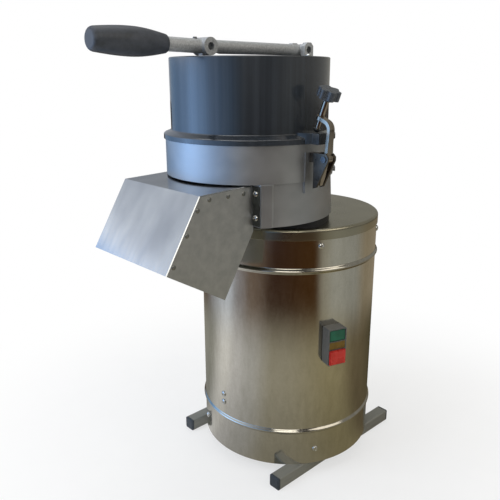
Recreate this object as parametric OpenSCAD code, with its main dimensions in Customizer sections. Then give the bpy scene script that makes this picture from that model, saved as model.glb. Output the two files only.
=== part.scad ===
// Tabletop vegetable cutting machine.
// A belt-driven slicing disc turns in a cast bowl under a feed hopper.
// A lever pushes the food down onto the disc and a chute carries the slices away.
// The origin is on the table under the casing's axis. The chute points to -X, the operator stands at -Y.

/* [Skids and casing] */
// Side of the square skid tube
skid_side = 20; // [16:1:24]
// Wall of the skid tube
skid_wall = 2; // [1.5:0.5:3]
// Length of a skid over its end caps
skid_len = 280; // [260:5:320]
// Distance between the two skid centre lines
skid_span = 213; // [200:1:220]
// Shift of the skids along their length
skid_shift = 5; // [0:1:10]
// Distance along a skid between the two holes for bench bolts
bench_hole_span = 210; // [180:5:220]
// Diameter of the holes for bench bolts
bench_hole_d = 6.6; // [5.5:0.1:9]
// Outer radius of the casing
casing_r = 140; // [138:1:150]
// Height of the casing
casing_h = 377; // [365:1:400]
// Sheet thickness of the casing
casing_t = 1.5; // [1:0.25:2]
// Height of the lower bead above the casing's bottom edge
low_bead_h = 58; // [50:1:70]
// Depth of the upper bead below the casing's top edge
high_bead_drop = 60; // [50:1:70]
// Outer radius of a rolled bead
bead_r = 4; // [3.5:0.5:5]
// Height by which a bead stands out of the wall
bead_out = 3; // [2:0.5:3]
// Sheet thickness of the cover
cover_t = 1.2; // [1:0.1:2]
// Depth of the cover's skirt
skirt_h = 16; // [12:1:20]
// Thickness of the base pan
pan_t = 3; // [2:0.5:4]
// Height of the base pan's rim
pan_rim_h = 36; // [32:1:44]
// Thickness of the deck plate under the cover
deck_t = 6; // [5:0.5:8]
// Depth of the deck plate's rim
deck_rim_h = 32; // [28:1:40]
// Diameter of the frame pillars
pillar_d = 14; // [12:1:16]

/* [Bowl and hopper] */
// Distance of the spindle axis from the casing's outside
spindle_inset = 55.4; // [52:0.2:60]
// Thickness of the rubber gasket under the bowl
gasket_t = 12.5; // [8:0.5:14]
// Thickness of the bowl's floor
bowl_floor = 8; // [7:0.5:10]
// Height of the bowl's lower ring
lower_h = 57; // [55:0.5:62]
// Height of the bowl's upper ring
upper_h = 50; // [46:0.5:56]
// Outer radius of the bowl's upper ring
bowl_r = 121.4; // [120:0.1:123]
// Wall of the bowl round the cutting chamber
bowl_wall = 7.4; // [6.5:0.1:8]
// Distance of the hopper's outside from the chamber's wall
hopper_inset = 1; // [0.5:0.1:1.5]
// Height of the hopper above the bowl
hopper_h = 109.5; // [105:0.5:120]
// Wall of the hopper
hopper_t = 5; // [4:0.5:6]
// Height of the hopper's flange at the wall
flange_t = 12; // [10:0.5:13]
// Height of the flange's outer edge
flange_edge = 8; // [7:0.5:9]
// Overhang of the hopper's flange over the bowl
flange_lip = 2.2; // [2:0.1:4]

/* [Lever and pusher] */
// Height of the lever's axis above the hopper
lever_rise = 12.5; // [12.5:0.5:16]
// Distance of the lever's pivot from the hopper's outside
pivot_inset = 9; // [9:0.5:13]
// Distance of the pusher's pin from the hopper's outside
boss_inset = 33; // [31:0.5:35]
// Diameter of the lever arm at the pusher's pin
arm_d = 18; // [17:0.5:19]
// Diameter of the pivot pins of the lever
lever_pin_d = 10; // [9:0.5:10]
// Length of the grip
grip_len = 103; // [98:1:120]
// Largest diameter of the grip
grip_d = 35; // [32:1:38]
// Gap between the pusher's plate and the hopper
throat_gap = 3; // [2.5:0.5:4]
// Distance of the pusher plate's straight edge from the spindle axis
pusher_edge = 30; // [29:0.5:32]
// Thickness of the pusher's plate
pusher_t = 10; // [8:0.5:12]

/* [Chute] */
// Distance of the chute's flanges from the ends of the outlet face
chute_margin = 2.25; // [1.5:0.25:4]
// Length of the chute's top plate
chute_top_l = 88; // [84:1:100]
// Length of the chute's front plate
chute_front_l = 103.4; // [95:0.2:110]
// Depth of the chute's mouth
chute_depth = 105.5; // [100:0.5:106]
// Slope of the front plate
chute_slope = 59; // [58:0.5:62]
// Sheet thickness of the chute
sheet_t = 1.5; // [1:0.25:2]
// Width of the chute's flanges
chute_flange = 12.5; // [12:0.5:14]
// Depth of the outlet face inside the bowl's outside
outlet_inset = 49; // [47:0.1:51]

/* [Clamp] */
// Tilt of the clamp screw from the vertical
clamp_tilt = 22; // [20:1:24]
// Width of the clamp's bar
clamp_w = 10; // [9:0.5:12]
// Thickness of the clamp's bar
clamp_t = 4.6; // [4:0.2:5]
// Diameter of the clamp screw
clamp_screw_d = 6; // [5:0.5:6.5]
// Diameter of the clamp's knob
clamp_knob_d = 30; // [28:1:34]
// Diameter of the clamp's pivot pin
clamp_pin_d = 6; // [5:0.5:6]

/* [Switch] */
// Direction of the switch round the casing, in degrees
switch_az = -108.5; // [-112:0.5:-104]
// Height of the switch's middle above the table
switch_z = 222.8; // [200:0.2:260]
// Width of the switch
switch_w = 30; // [29:0.5:34]
// Height of the switch
switch_h = 57; // [56:0.5:62]
// Depth of the switch's housing
switch_d = 18; // [17:0.5:22]
// Travel of the push buttons
button_travel = 3; // [2:0.5:4]

/* [Drive] */
// Diameter of the spindle
spindle_d = 20; // [18:1:22]
// Radius of the pulley on the spindle
big_pulley_r = 48; // [44:1:48]
// Radius of the pulley on the motor
small_pulley_r = 20; // [18:1:24]
// Distance of the motor's axis from the casing's outside
motor_inset = 92; // [88:1:96]
// Radius of the motor's finned body
motor_r = 62; // [56:1:62]
// Length of the motor
motor_len = 200; // [170:5:220]
// Gap between the cutting disc and the chamber's wall
disc_gap = 3.5; // [3:0.5:8]
// Number of knives on the cutting disc
knife_count = 3; // [2:1:3]

/* [Hidden] */
$fn = 64;
slip = 0.05;
seat = 0.2;
cut = 1;

base_z = skid_side;
casing_top = base_z + casing_h;
cover_top = casing_top + cover_t;
bowl_z = cover_top + gasket_t;
floor_z = bowl_z + bowl_floor;
step_z = bowl_z + lower_h;
rim_z = step_z + upper_h;
flange_z = rim_z + flange_t;
hopper_top = rim_z + hopper_h;
lever_z = hopper_top + lever_rise;
bowl_x = spindle_inset - casing_r;
motor_dx = casing_r - motor_inset;

wall_in_r = casing_r - casing_t;
liner_r = wall_in_r - seat / 2;
rim_t = 2;
cap_t = 4;
screw_d = 4;
screw_head_r = 4;
deck_screw_drop = 23.5;
base_screw_h = 25;
clip_z = base_z + 90;
clip_pitch = 14;
clip_az = 179;
gland_az = 15;
gland_z = base_z + 90;
gland_d = 20;

chamber_r = bowl_r - bowl_wall;
hopper_r = chamber_r - hopper_inset;
flange_r = bowl_r + flange_lip;
disc_r = chamber_r - disc_gap;
pivot_dx = hopper_r - pivot_inset;
boss_dx = hopper_r - boss_inset;

// The lower ring leans out towards its foot.
lower_r_top = bowl_r - 2.7;
lower_r_foot = bowl_r + 0.2;
outlet_pad_r = bowl_r + 2.1;
outlet_pad_angle = 62.3;
outlet_pad_bevel = 2.4;
outlet_dx = bowl_r - outlet_inset;
outlet_half = sqrt(outlet_pad_r * outlet_pad_r - outlet_dx * outlet_dx);
chute_w = 2 * (outlet_half - chute_flange - chute_margin);
bowl_hub_r = 22;
bowl_hub_h = 6;
spindle_hole_r = spindle_d / 2 + 4;
bolt_ring_r = 40;
bolt_d = 8;
neck_r = 28;
neck_gap = 0.3;
pad_face = bowl_r + 0.3;
pad_w = 26;

deck_z = casing_top - deck_t;
housing_flange_t = 8;
housing_flange_r = 50;
housing_r = 32;
bearing_r = 23.5;
bearing_h = 14;
housing_len = 65;
upper_bearing_z = deck_z - housing_flange_t - bearing_h;
housing_z = deck_z - housing_len;
lower_bearing_z = housing_z + 4;
pulley_w = 18;
pulley_z = lower_bearing_z - 4 - pulley_w - 6;
groove_d = 9;
groove_top = 13;
groove_foot = 9.8;
belt_w = 9;
belt_h = 6;
belt_lift = 0.6;
shaft_r = 7;
stud_dx = 48;
stud_d = 8;
nut_r = 7.5;
nut_h = 6.5;
plate_t = 6;
motor_flange_t = 8;
motor_top = pulley_z - 8 - plate_t;

ejector_z = floor_z + bowl_hub_h + 3;
ejector_r = chamber_r - 14;
ejector_t = 4;
hub_r = 18;
disc_z = step_z + 6.5;
disc_t = 5;
hub_top = disc_z + disc_t + 5;
knife_rise = 9;
stud_r = 6;
knob_r = 16;
knob_h = 18;

pivot_x = bowl_x + pivot_dx;
boss_x = bowl_x - boss_dx;
lever_l = pivot_dx + boss_dx;
boss_r = 11.4;
boss_half = 14;
eye_r = 8.6;
eye_half = 10;
ear_t = 8;
ear_half = 9.5;
ear_rise = 10.5;
bracket_t = 3;
fork_gap = 0.4;
stem_t = 9;
stem_half = 7;
stem_eye_r = 8.5;
lift_max = 55;
tang_r = 6;
grip_gap = 62;
arm_bend = 1.3;
pusher_z = rim_z - 20;
pusher_r = hopper_r - hopper_t - throat_gap;
throat_z = pusher_z - 4;

face_x = bowl_x - outlet_dx;
chute_top = step_z - 4.7;
chute_y = chute_w / 2;
down = [-cos(chute_slope), -sin(chute_slope)];
across = [sin(chute_slope), -cos(chute_slope)];
chute_corner = [face_x - chute_top_l, chute_top];
mouth_front = chute_corner + chute_front_l * down;
mouth_rear = mouth_front + chute_depth * across;
chute_heel = [face_x, mouth_rear[1] + (face_x - mouth_rear[0]) * tan(chute_slope)];
rivet_inset = 5.5;
rivet_r = 1.6;

lug_w = 20;
lug_root = 40;
lug_out = flange_r + 17.4;
lug_top = flange_z + 2.3;
clamp_pivot = [bowl_r + 27.1, rim_z - 18];
clamp_hole = [bowl_r + 13.1, lug_top + 19];
clamp_axis = [sin(clamp_tilt), cos(clamp_tilt)];
nose_r = 5;
nose_lift = 0.3;
nose_s = (clamp_hole[1] - lug_top - nose_lift - nose_r) / cos(clamp_tilt);
knob_s = 23.7;
clamp_knob_h = 15;
bend_r = 11;
thumb_len = 37.5;
ear_back = 9.6;
ear_plate_t = 3;
bracket_gap = 0.4;
bowl_screw_d = 5;
bowl_screw_head_r = 4.5;

// Flat outline with four round corners, centred on the origin.
module rounded_rect(w, h, r) {
  square([w - 2 * r, h], center = true);
  square([w, h - 2 * r], center = true);
  for (x = [-1, 1], y = [-1, 1])
    translate([x * (w / 2 - r), y * (h / 2 - r)])
      circle(r);
}

// Flat outline drawn in X and Z, thickened along Y from y0 to y1.
module upright(y0, y1) {
  translate([0, y1, 0])
    rotate([90, 0, 0])
      linear_extrude(y1 - y0)
        children();
}

// Flat outline drawn in radius and height from the bowl's axis, thickened along X at the front of the bowl.
module front_section(w) {
  translate([bowl_x - w / 2, 0, 0])
    rotate([90, 0, -90])
      mirror([0, 0, 1])
        linear_extrude(w)
          children();
}

// Cylinder along Y.
module cross_cylinder(r, y0, y1) {
  translate([0, y1, 0])
    rotate([90, 0, 0])
      cylinder(h = y1 - y0, r = r);
}

// Places children on the casing's wall with +Z pointing outwards.
module on_wall(az, z) {
  rotate([0, 0, az])
    translate([casing_r, 0, z])
      rotate([0, 90, 0])
        children();
}

// Places children on the spindle's axis.
module on_bowl(z = 0) {
  translate([bowl_x, 0, z])
    children();
}

// Places children at the front (-1) or rear (+1) of the bowl with +Z pointing outwards.
module on_bowl_side(side, r, z) {
  translate([bowl_x, side * r, z])
    rotate([-side * 90, 0, 0])
      children();
}

// Pan head with a shank below it.
module pan_screw(d, head_r, len) {
  head_h = head_r * 0.7;
  cylinder(h = head_h / 2, r = head_r);
  translate([0, 0, head_h / 2])
    cylinder(h = head_h / 2, r1 = head_r, r2 = head_r * 0.6);
  translate([0, 0, -len])
    cylinder(h = len + head_h / 4, d = d);
}

module each_casing_screw() {
  for (i = [0:5])
    on_wall(-117 + 60 * i, casing_top - deck_screw_drop)
      children();
  for (i = [0:3])
    on_wall(-117 + 90 * i, base_z + base_screw_h)
      children();
  for (s = [-1, 1])
    on_wall(clip_az, clip_z + s * clip_pitch / 2)
      children();
}

module casing_screw_holes() {
  each_casing_screw()
    translate([0, 0, -12])
      cylinder(h = 14, d = screw_d + seat);
}

module each_bowl_bolt() {
  for (i = [0:2])
    on_bowl()
      rotate([0, 0, 120 * i])
        translate([bolt_ring_r, 0, 0])
          children();
}

module bolt_holes(z0, z1) {
  each_bowl_bolt()
    translate([0, 0, z0])
      cylinder(h = z1 - z0, d = bolt_d + seat);
}

module neck_hole(z0, z1) {
  on_bowl(z0)
    cylinder(h = z1 - z0, r = neck_r + neck_gap);
}

module each_stud() {
  for (x = [-1, 1], y = [-1, 1])
    translate([motor_dx + x * stud_dx, y * stud_dx, 0])
      children();
}

module skid(side) {
  difference() {
    translate([skid_shift - skid_len / 2 + cap_t, side * skid_span / 2, skid_side / 2])
      rotate([90, 0, 90])
        linear_extrude(skid_len - 2 * cap_t)
          difference() {
            rounded_rect(skid_side, skid_side, 2.5);
            rounded_rect(skid_side - 2 * skid_wall, skid_side - 2 * skid_wall, 1);
          }
    for (x = [-1, 1])
      translate([x * bench_hole_span / 2, side * skid_span / 2, -cut])
        cylinder(h = skid_wall + 2 * cut, d = bench_hole_d);
  }
}

module front_skid() {
  color("#b4b6b2")
    skid(-1);
}

module rear_skid() {
  color("#b4b6b2")
    skid(1);
}

module skid_cap() {
  plug = skid_side - 2 * skid_wall - seat;
  rotate([90, 0, 90]) {
    linear_extrude(cap_t - 1)
      rounded_rect(skid_side, skid_side, 2.5);
    translate([0, 0, cap_t - 1])
      linear_extrude(1)
        rounded_rect(skid_side - 4, skid_side - 4, 2.5);
    translate([0, 0, -14])
      linear_extrude(14 + cut)
        difference() {
          rounded_rect(plug, plug, 1);
          rounded_rect(plug - 5, plug - 5, 1);
        }
  }
}

module skid_end_caps() {
  color("#3f454c")
    for (side = [-1, 1], end = [0, 1])
      translate([skid_shift, side * skid_span / 2, skid_side / 2])
        rotate([0, 0, 180 * end])
          translate([skid_len / 2 - cap_t, 0, 0])
            skid_cap();
}

module base_pan() {
  color("#a9aaa6")
    difference() {
      translate([0, 0, base_z])
        rotate_extrude()
          polygon([
            [0, 0], [liner_r, 0], [liner_r, pan_rim_h],
            [liner_r - rim_t, pan_rim_h], [liner_r - rim_t, pan_t], [0, pan_t]
          ]);
      casing_screw_holes();
    }
}

module bead_section(z) {
  translate([casing_r + bead_out - bead_r, z])
    circle(bead_r);
}

module bead_groove(z) {
  translate([casing_r + bead_out - bead_r, z])
    circle(bead_r - casing_t);
}

module casing() {
  low = low_bead_h;
  high = casing_h - high_bead_drop;
  color("#c9c8c0")
    difference() {
      translate([0, 0, base_z])
        rotate_extrude()
          difference() {
            union() {
              translate([wall_in_r, 0])
                square([casing_t, casing_h]);
              intersection() {
                translate([wall_in_r, 0])
                  square([bead_r * 2, casing_h]);
                union() {
                  bead_section(low);
                  bead_section(high);
                }
              }
            }
            bead_groove(low);
            bead_groove(high);
          }
      casing_screw_holes();
      on_wall(gland_az, gland_z)
        translate([0, 0, -10])
          cylinder(h = 20, d = gland_d + seat);
      at_switch()
        translate([0, 0, -10])
          cylinder(h = 20, d = switch_neck_d + seat);
    }
}

// The cover is a shallow spun lid with a rounded edge.
module top_cover() {
  edge_r = 4;
  out_r = casing_r + seat + cover_t;
  color("#b3aea0")
    difference() {
      translate([0, 0, cover_top])
        rotate_extrude()
          difference() {
            union() {
              translate([0, -skirt_h])
                square([out_r, skirt_h - edge_r]);
              translate([0, -edge_r - cut])
                square([out_r - edge_r, edge_r + cut]);
              translate([out_r - edge_r, -edge_r])
                circle(edge_r);
            }
            translate([-cut, -skirt_h - cut])
              square([casing_r + seat + cut, skirt_h - cover_t + cut]);
            translate([-cut - out_r, -skirt_h - cut])
              square([cut + out_r, skirt_h + 2 * cut]);
          }
      neck_hole(casing_top - cut, cover_top + cut);
      bolt_holes(casing_top - cut, cover_top + cut);
    }
}

module casing_screws() {
  color("#d8d8d4")
    each_casing_screw()
      pan_screw(screw_d, screw_head_r, 8);
}

module cable_gland() {
  color("#26282a")
    on_wall(gland_az, gland_z)
      difference() {
        union() {
          translate([0, 0, -9])
            cylinder(h = 10, d = gland_d);
          translate([0, 0, -9])
            cylinder(h = 6, r = gland_d * 0.68, $fn = 6);
          translate([0, 0, 0.4])
            cylinder(h = 6, r = gland_d * 0.68, $fn = 6);
          translate([0, 0, 6])
            cylinder(h = 12, d = gland_d + 2);
          translate([0, 0, 18])
            cylinder(h = 5, d1 = gland_d + 2, d2 = gland_d - 6);
        }
        translate([0, 0, -10])
          cylinder(h = 40, d = 9);
      }
}

module frame_pillars() {
  pillar_ring = liner_r - rim_t - pillar_d / 2 - 7;
  color("#8f9290")
    for (i = [0:3])
      rotate([0, 0, 45 + 90 * i])
        translate([pillar_ring, 0, base_z + pan_t])
          cylinder(h = deck_z - base_z - pan_t, d = pillar_d);
}

module deck_plate() {
  color("#a9aaa6")
    difference() {
      translate([0, 0, casing_top])
        rotate_extrude()
          polygon([
            [0, 0], [liner_r, 0], [liner_r, -deck_rim_h],
            [liner_r - rim_t, -deck_rim_h], [liner_r - rim_t, -deck_t], [0, -deck_t]
          ]);
      casing_screw_holes();
      neck_hole(deck_z - cut, casing_top + cut);
      bolt_holes(deck_z - cut, casing_top + cut);
    }
}

module motor_body() {
  fin_count = 24;
  core_r = motor_r - 6;
  color("#4d5358")
    translate([motor_dx, 0, 0])
      difference() {
        union() {
          translate([0, 0, motor_top - motor_len])
            linear_extrude(motor_len - motor_flange_t + cut) {
              circle(core_r);
              for (i = [0:fin_count - 1])
                rotate(360 / fin_count * i)
                  translate([0, -1.2])
                    square([motor_r, 2.4]);
            }
          translate([0, 0, motor_top - motor_len - 14])
            cylinder(h = 15, r1 = core_r - 12, r2 = core_r);
          translate([0, 0, motor_top - motor_flange_t])
            linear_extrude(motor_flange_t)
              rounded_rect(2 * stud_dx + 22, 2 * stud_dx + 22, 10);
        }
        translate([0, 0, motor_top - 30])
          cylinder(h = 30 + cut, r = shaft_r + slip);
        translate([-motor_dx, 0, 0])
          each_stud()
            translate([0, 0, motor_top - motor_flange_t - cut]) {
              cylinder(h = motor_flange_t + 2 * cut, d = stud_d + seat);
              translate([0, 0, cut - 3 * nut_h])
                cylinder(h = 3 * nut_h, r = nut_r + 1);
            }
      }
}

module motor_plate() {
  color("#a9aaa6")
    translate([0, 0, motor_top])
      linear_extrude(plate_t)
        difference() {
          translate([motor_dx, 0])
            rounded_rect(2 * stud_dx + 22, 2 * stud_dx + 22, 10);
          translate([motor_dx, 0])
            circle(shaft_r + 10);
          each_stud()
            circle(d = stud_d + seat);
        }
}

module motor_studs() {
  foot_z = motor_top - motor_flange_t - nut_h - 3;
  color("#c4c6c4")
    each_stud() {
      translate([0, 0, foot_z])
        cylinder(h = deck_z - foot_z, d = stud_d);
      for (z = [motor_top - motor_flange_t - nut_h, motor_top + plate_t, deck_z - nut_h])
        translate([0, 0, z])
          cylinder(h = nut_h, r = nut_r, $fn = 6);
    }
}

module motor_shaft() {
  color("#c4c6c4")
    translate([motor_dx, 0, motor_top - 29.5])
      cylinder(h = pulley_z + pulley_w + 3 - motor_top + 29.5, r = shaft_r);
}

// Pulley with one groove, its lower face at z = 0.
module pulley(r, bore_r) {
  mid = pulley_w / 2;
  rotate_extrude()
    polygon([
      [bore_r, 0], [r, 0], [r, mid - groove_top / 2], [r - groove_d, mid - groove_foot / 2],
      [r - groove_d, mid + groove_foot / 2], [r, mid + groove_top / 2], [r, pulley_w],
      [bore_r, pulley_w]
    ]);
}

module motor_pulley() {
  color("#70757a")
    translate([motor_dx, 0, pulley_z])
      pulley(small_pulley_r, shaft_r + 0.02);
}

// Points of a belt loop that lies at radius a round the spindle and b round the motor.
function belt_loop(a, b, n = 40) =
  let (gap = motor_dx - bowl_x, turn = acos((a - b) / gap))
  concat(
    [for (i = [0:n]) let (t = turn + (360 - 2 * turn) * i / n) [bowl_x + a * cos(t), a * sin(t)]],
    [for (i = [0:n]) let (t = -turn + 2 * turn * i / n) [motor_dx + b * cos(t), b * sin(t)]]
  );

module drive_belt() {
  a = big_pulley_r - groove_d + belt_lift;
  b = small_pulley_r - groove_d + belt_lift;
  color("#1d1e20")
    translate([0, 0, pulley_z + (pulley_w - belt_w) / 2])
      linear_extrude(belt_w)
        difference() {
          polygon(belt_loop(a + belt_h, b + belt_h));
          polygon(belt_loop(a, b));
        }
}

module spindle() {
  r = spindle_d / 2;
  foot = pulley_z - 2;
  color("#c4c6c4")
    on_bowl()
      rotate_extrude()
        polygon([
          [0, foot - 16], [stud_r, foot - 16], [stud_r, foot], [r, foot], [r, ejector_z - 2],
          [r + 3, ejector_z - 2], [r + 3, ejector_z], [r, ejector_z], [r, hub_top],
          [stud_r, hub_top], [stud_r, hub_top + 14], [0, hub_top + 14]
        ]);
}

module spindle_pulley() {
  color("#70757a")
    on_bowl(pulley_z)
      pulley(big_pulley_r, spindle_d / 2 + 0.02);
}

module pulley_nut() {
  color("#c4c6c4")
    on_bowl(pulley_z - 2 - 10)
      difference() {
        union() {
          cylinder(h = 10, r = 10, $fn = 6);
          translate([0, 0, 9])
            cylinder(h = 1, r = 13);
          translate([0, 0, 10])
            difference() {
              cylinder(h = 2, r = 13);
              translate([0, 0, -cut])
                cylinder(h = 4, r = spindle_d / 2 + 0.02);
            }
        }
        translate([0, 0, -cut])
          cylinder(h = 10 + cut, r = stud_r + 0.02);
      }
}

module bearing_housing() {
  top = bowl_z - housing_z;
  color("#8d9092")
    difference() {
      on_bowl(housing_z)
        rotate_extrude()
          polygon([
            [bearing_r, 0], [housing_r, 0], [housing_r, housing_len - housing_flange_t],
            [housing_flange_r, housing_len - housing_flange_t],
            [housing_flange_r, housing_len], [neck_r, housing_len], [neck_r, top], [bearing_r, top],
            [bearing_r, upper_bearing_z - housing_z], [bearing_r - 4, upper_bearing_z - housing_z],
            [bearing_r - 4, lower_bearing_z + bearing_h - housing_z],
            [bearing_r, lower_bearing_z + bearing_h - housing_z]
          ]);
      bolt_holes(deck_z - housing_flange_t - cut, deck_z + cut);
    }
}

// Ball bearing with a shield recess in each face, its lower face at z = 0.
module ball_bearing() {
  in_r = spindle_d / 2 + slip;
  out_r = bearing_r - 0.02;
  rotate_extrude()
    difference() {
      translate([in_r, 0])
        square([out_r - in_r, bearing_h]);
      for (z = [-cut, bearing_h - 1])
        translate([in_r + 3, z])
          square([out_r - in_r - 6, 1 + cut]);
    }
}

module spindle_bearings() {
  color("#b9bcbc") {
    on_bowl(upper_bearing_z)
      ball_bearing();
    on_bowl(lower_bearing_z)
      ball_bearing();
  }
}

module spindle_seal() {
  in_r = spindle_d / 2 + slip;
  color("#222426")
    on_bowl(bowl_z - 9)
      rotate_extrude()
        polygon([
          [in_r, 0], [bearing_r - 0.02, 0], [bearing_r - 0.02, 7], [in_r + 6, 7], [in_r + 4, 3], [in_r, 3]
        ]);
}

cap_r = 21;
cap_h = 80;
clip_x = -(liner_r - 6 - 2 - cap_r);

module run_capacitor() {
  color("#d9d7cf")
    translate([clip_x, 0, clip_z - cap_h / 2]) {
      cylinder(h = cap_h, r = cap_r);
      translate([0, 0, cap_h])
        cylinder(h = 4, r1 = cap_r - 1, r2 = cap_r - 3);
      for (y = [-1, 1])
        translate([-1, y * 8 - 3, cap_h + 3])
          cube([2, 6, 10]);
    }
}

module capacitor_clip() {
  color("#a9aaa6")
    difference() {
      intersection() {
        translate([0, 0, clip_z - 15])
          cylinder(h = 30, r = liner_r);
        union() {
          translate([clip_x, 0, clip_z - 15])
            cylinder(h = 30, r = cap_r + 2);
          translate([-casing_r, -10, clip_z - 15])
            cube([casing_r + clip_x, 20, 30]);
        }
      }
      translate([clip_x, 0, clip_z - 16])
        cylinder(h = 32, r = cap_r + slip);
      casing_screw_holes();
    }
}

module bowl() {
  color("#b6b9ba")
    difference() {
      union() {
        on_bowl(bowl_z)
          rotate_extrude()
            polygon([
              [spindle_hole_r, 0], [lower_r_foot, 0], [lower_r_top, lower_h], [bowl_r, lower_h],
              [bowl_r, rim_z - bowl_z], [chamber_r, rim_z - bowl_z], [chamber_r, bowl_floor],
              [bowl_hub_r, bowl_floor], [bowl_hub_r, bowl_floor + bowl_hub_h],
              [spindle_hole_r, bowl_floor + bowl_hub_h]
            ]);
        outlet_pad();
        for (side = [-1, 1])
          clamp_pad_of_bowl(side);
        on_bowl()
          rotate([0, 0, -47])
            translate([chamber_r + 2, -8, step_z + 2])
              cube([bowl_r + 3.5 - chamber_r - 2, 16, 6]);
      }
      translate([face_x - bowl_r, -2 * bowl_r, bowl_z - cut])
        cube([bowl_r, 4 * bowl_r, lower_h + cut]);
      bolt_holes(bowl_z - cut, floor_z - 1);
      bowl_screw_holes();
    }
}

// Raised band that carries the outlet's flat face, with bevelled ends.
module outlet_pad() {
  end = outlet_pad_r - outlet_pad_bevel;
  end_x = -end * cos(outlet_pad_angle);
  end_y = end * sin(outlet_pad_angle);
  out_y = end_y + outlet_pad_r * tan(9.5);
  on_bowl(bowl_z)
    difference() {
      intersection() {
        cylinder(h = lower_h, r = outlet_pad_r);
        linear_extrude(lower_h)
          polygon([
            [0, 0], [end_x, end_y], [end_x - outlet_pad_r, out_y],
            [end_x - outlet_pad_r, -out_y], [end_x, -end_y]
          ]);
      }
      translate([0, 0, -cut])
        cylinder(h = lower_h + 2 * cut, r = chamber_r + 0.5);
    }
}

// Flat pad for the clamp's bracket in front and the keeper behind.
module clamp_pad_of_bowl(side) {
  pad_z = step_z - 15;
  difference() {
    translate([bowl_x - pad_w / 2, min(0, side * pad_face), pad_z])
      cube([pad_w, pad_face, rim_z - 11 - pad_z]);
    on_bowl(pad_z - cut)
      cylinder(h = rim_z - pad_z, r = chamber_r + 2);
  }
}

module bowl_gasket() {
  color("#1c1d1e")
    difference() {
      translate([0, 0, cover_top])
        linear_extrude(gasket_t)
          intersection() {
            translate([bowl_x, 0])
              circle(lower_r_foot - 3);
            circle(casing_r - 6);
          }
      neck_hole(cover_top - cut, bowl_z + cut);
      bolt_holes(cover_top - cut, bowl_z + cut);
    }
}

module bowl_bolts() {
  head_z = deck_z - housing_flange_t;
  color("#c4c6c4")
    each_bowl_bolt() {
      translate([0, 0, head_z - 5.5])
        cylinder(h = 5.5, r = nut_r, $fn = 6);
      translate([0, 0, head_z - 1])
        cylinder(h = floor_z - 2 - head_z + 1, d = bolt_d);
    }
}

// Screws that hold the chute's flanges, on a seat of thickness t.
module each_chute_screw(t) {
  for (side = [-1, 1], z = [bowl_z + 13, chute_top - 7])
    translate([face_x - t, side * (chute_y + chute_flange / 2), z])
      rotate([0, -90, 0])
        children();
}

// Screws that hold the rear keeper, on a seat of thickness t.
module each_keeper_screw(t) {
  for (z = [rim_z - 32, rim_z - 19])
    on_bowl_side(1, pad_face + t, z)
      children();
}

// Screw that holds the clamp's bracket, on a seat of thickness t.
module at_bracket_screw(t) {
  on_bowl_side(-1, pad_face + t, rim_z - 17.75)
    children();
}

module bowl_screw_holes() {
  hole_d = bowl_screw_d + seat;
  each_chute_screw(0)
    translate([0, 0, -4.2])
      cylinder(h = 4.2 + sheet_t + cut, d = hole_d);
  each_keeper_screw(0)
    translate([0, 0, -6.5])
      cylinder(h = 6.5 + ear_plate_t + cut, d = hole_d);
  at_bracket_screw(0)
    translate([0, 0, -6.5])
      cylinder(h = 6.5 + ear_back + ear_plate_t + cut, d = hole_d);
}

module bowl_screws() {
  color("#d8d8d4") {
    each_chute_screw(sheet_t)
      pan_screw(bowl_screw_d, bowl_screw_head_r, sheet_t + 4);
    each_keeper_screw(ear_plate_t)
      pan_screw(bowl_screw_d, bowl_screw_head_r, ear_plate_t + 6);
    at_bracket_screw(ear_back + ear_plate_t)
      pan_screw(bowl_screw_d, bowl_screw_head_r, ear_back + ear_plate_t + 6);
  }
}

module ejector_disc() {
  color("#c9cbc8")
    on_bowl(ejector_z)
      difference() {
        union() {
          cylinder(h = ejector_t, r = ejector_r);
          cylinder(h = disc_z - ejector_z, r = hub_r);
          for (i = [0:2])
            rotate([0, 0, 120 * i])
              translate([hub_r - 3, -3, 0])
                cube([ejector_r - hub_r, 6, chute_top - 9 - ejector_z]);
        }
        translate([0, 0, -cut])
          cylinder(h = disc_z - ejector_z + 2 * cut, r = spindle_d / 2 + slip);
      }
}

knife_r0 = 26;
knife_l = disc_r - 6.5 - knife_r0;
knife_w = 24;

module each_knife() {
  for (i = [0:knife_count - 1])
    rotate([0, 0, 360 / knife_count * i + 90])
      translate([knife_r0, 0, disc_z + disc_t])
        children();
}

module knife_screw_spots() {
  for (x = [0.2, 0.8])
    translate([x * knife_l, knife_w * 0.3, 0])
      children();
}

module cutting_disc() {
  color("#d2d3cf")
    on_bowl()
      difference() {
        union() {
          translate([0, 0, disc_z])
            cylinder(h = disc_t, r = disc_r);
          translate([0, 0, disc_z])
            cylinder(h = hub_top - disc_z, r = hub_r + 4);
        }
        translate([0, 0, disc_z - cut])
          cylinder(h = hub_top - disc_z + 2 * cut, r = spindle_d / 2 + slip);
        each_knife()
          translate([0, -knife_w * 0.9, -disc_t - cut])
            cube([knife_l, knife_w * 0.9, disc_t + 2 * cut]);
        each_knife()
          knife_screw_spots()
            translate([0, 0, -disc_t - cut])
              cylinder(h = disc_t + 2 * cut, d = screw_d + seat);
      }
}

// A knife lies flat on the disc and its edge rises over the slot.
module slicing_knives() {
  color("#e2e3e0")
    on_bowl()
      each_knife()
        difference() {
          rotate([90, 0, 90])
            linear_extrude(knife_l)
              polygon([
                [knife_w * 0.6, 0], [knife_w * 0.6, 2], [0, 2.6], [-knife_w * 0.4, knife_rise],
                [-knife_w * 0.4 + 2, knife_rise - 3], [0.6, 0]
              ]);
          knife_screw_spots()
            translate([0, 0, -cut])
              cylinder(h = 5, d = screw_d + seat);
        }
}

module knife_screws() {
  color("#c4c6c4")
    on_bowl()
      each_knife()
        knife_screw_spots() {
          translate([0, 0, 2.5])
            cylinder(h = 2, r1 = 3.6, r2 = 2.6);
          translate([0, 0, -disc_t])
            cylinder(h = disc_t + 3, d = screw_d);
        }
}

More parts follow.
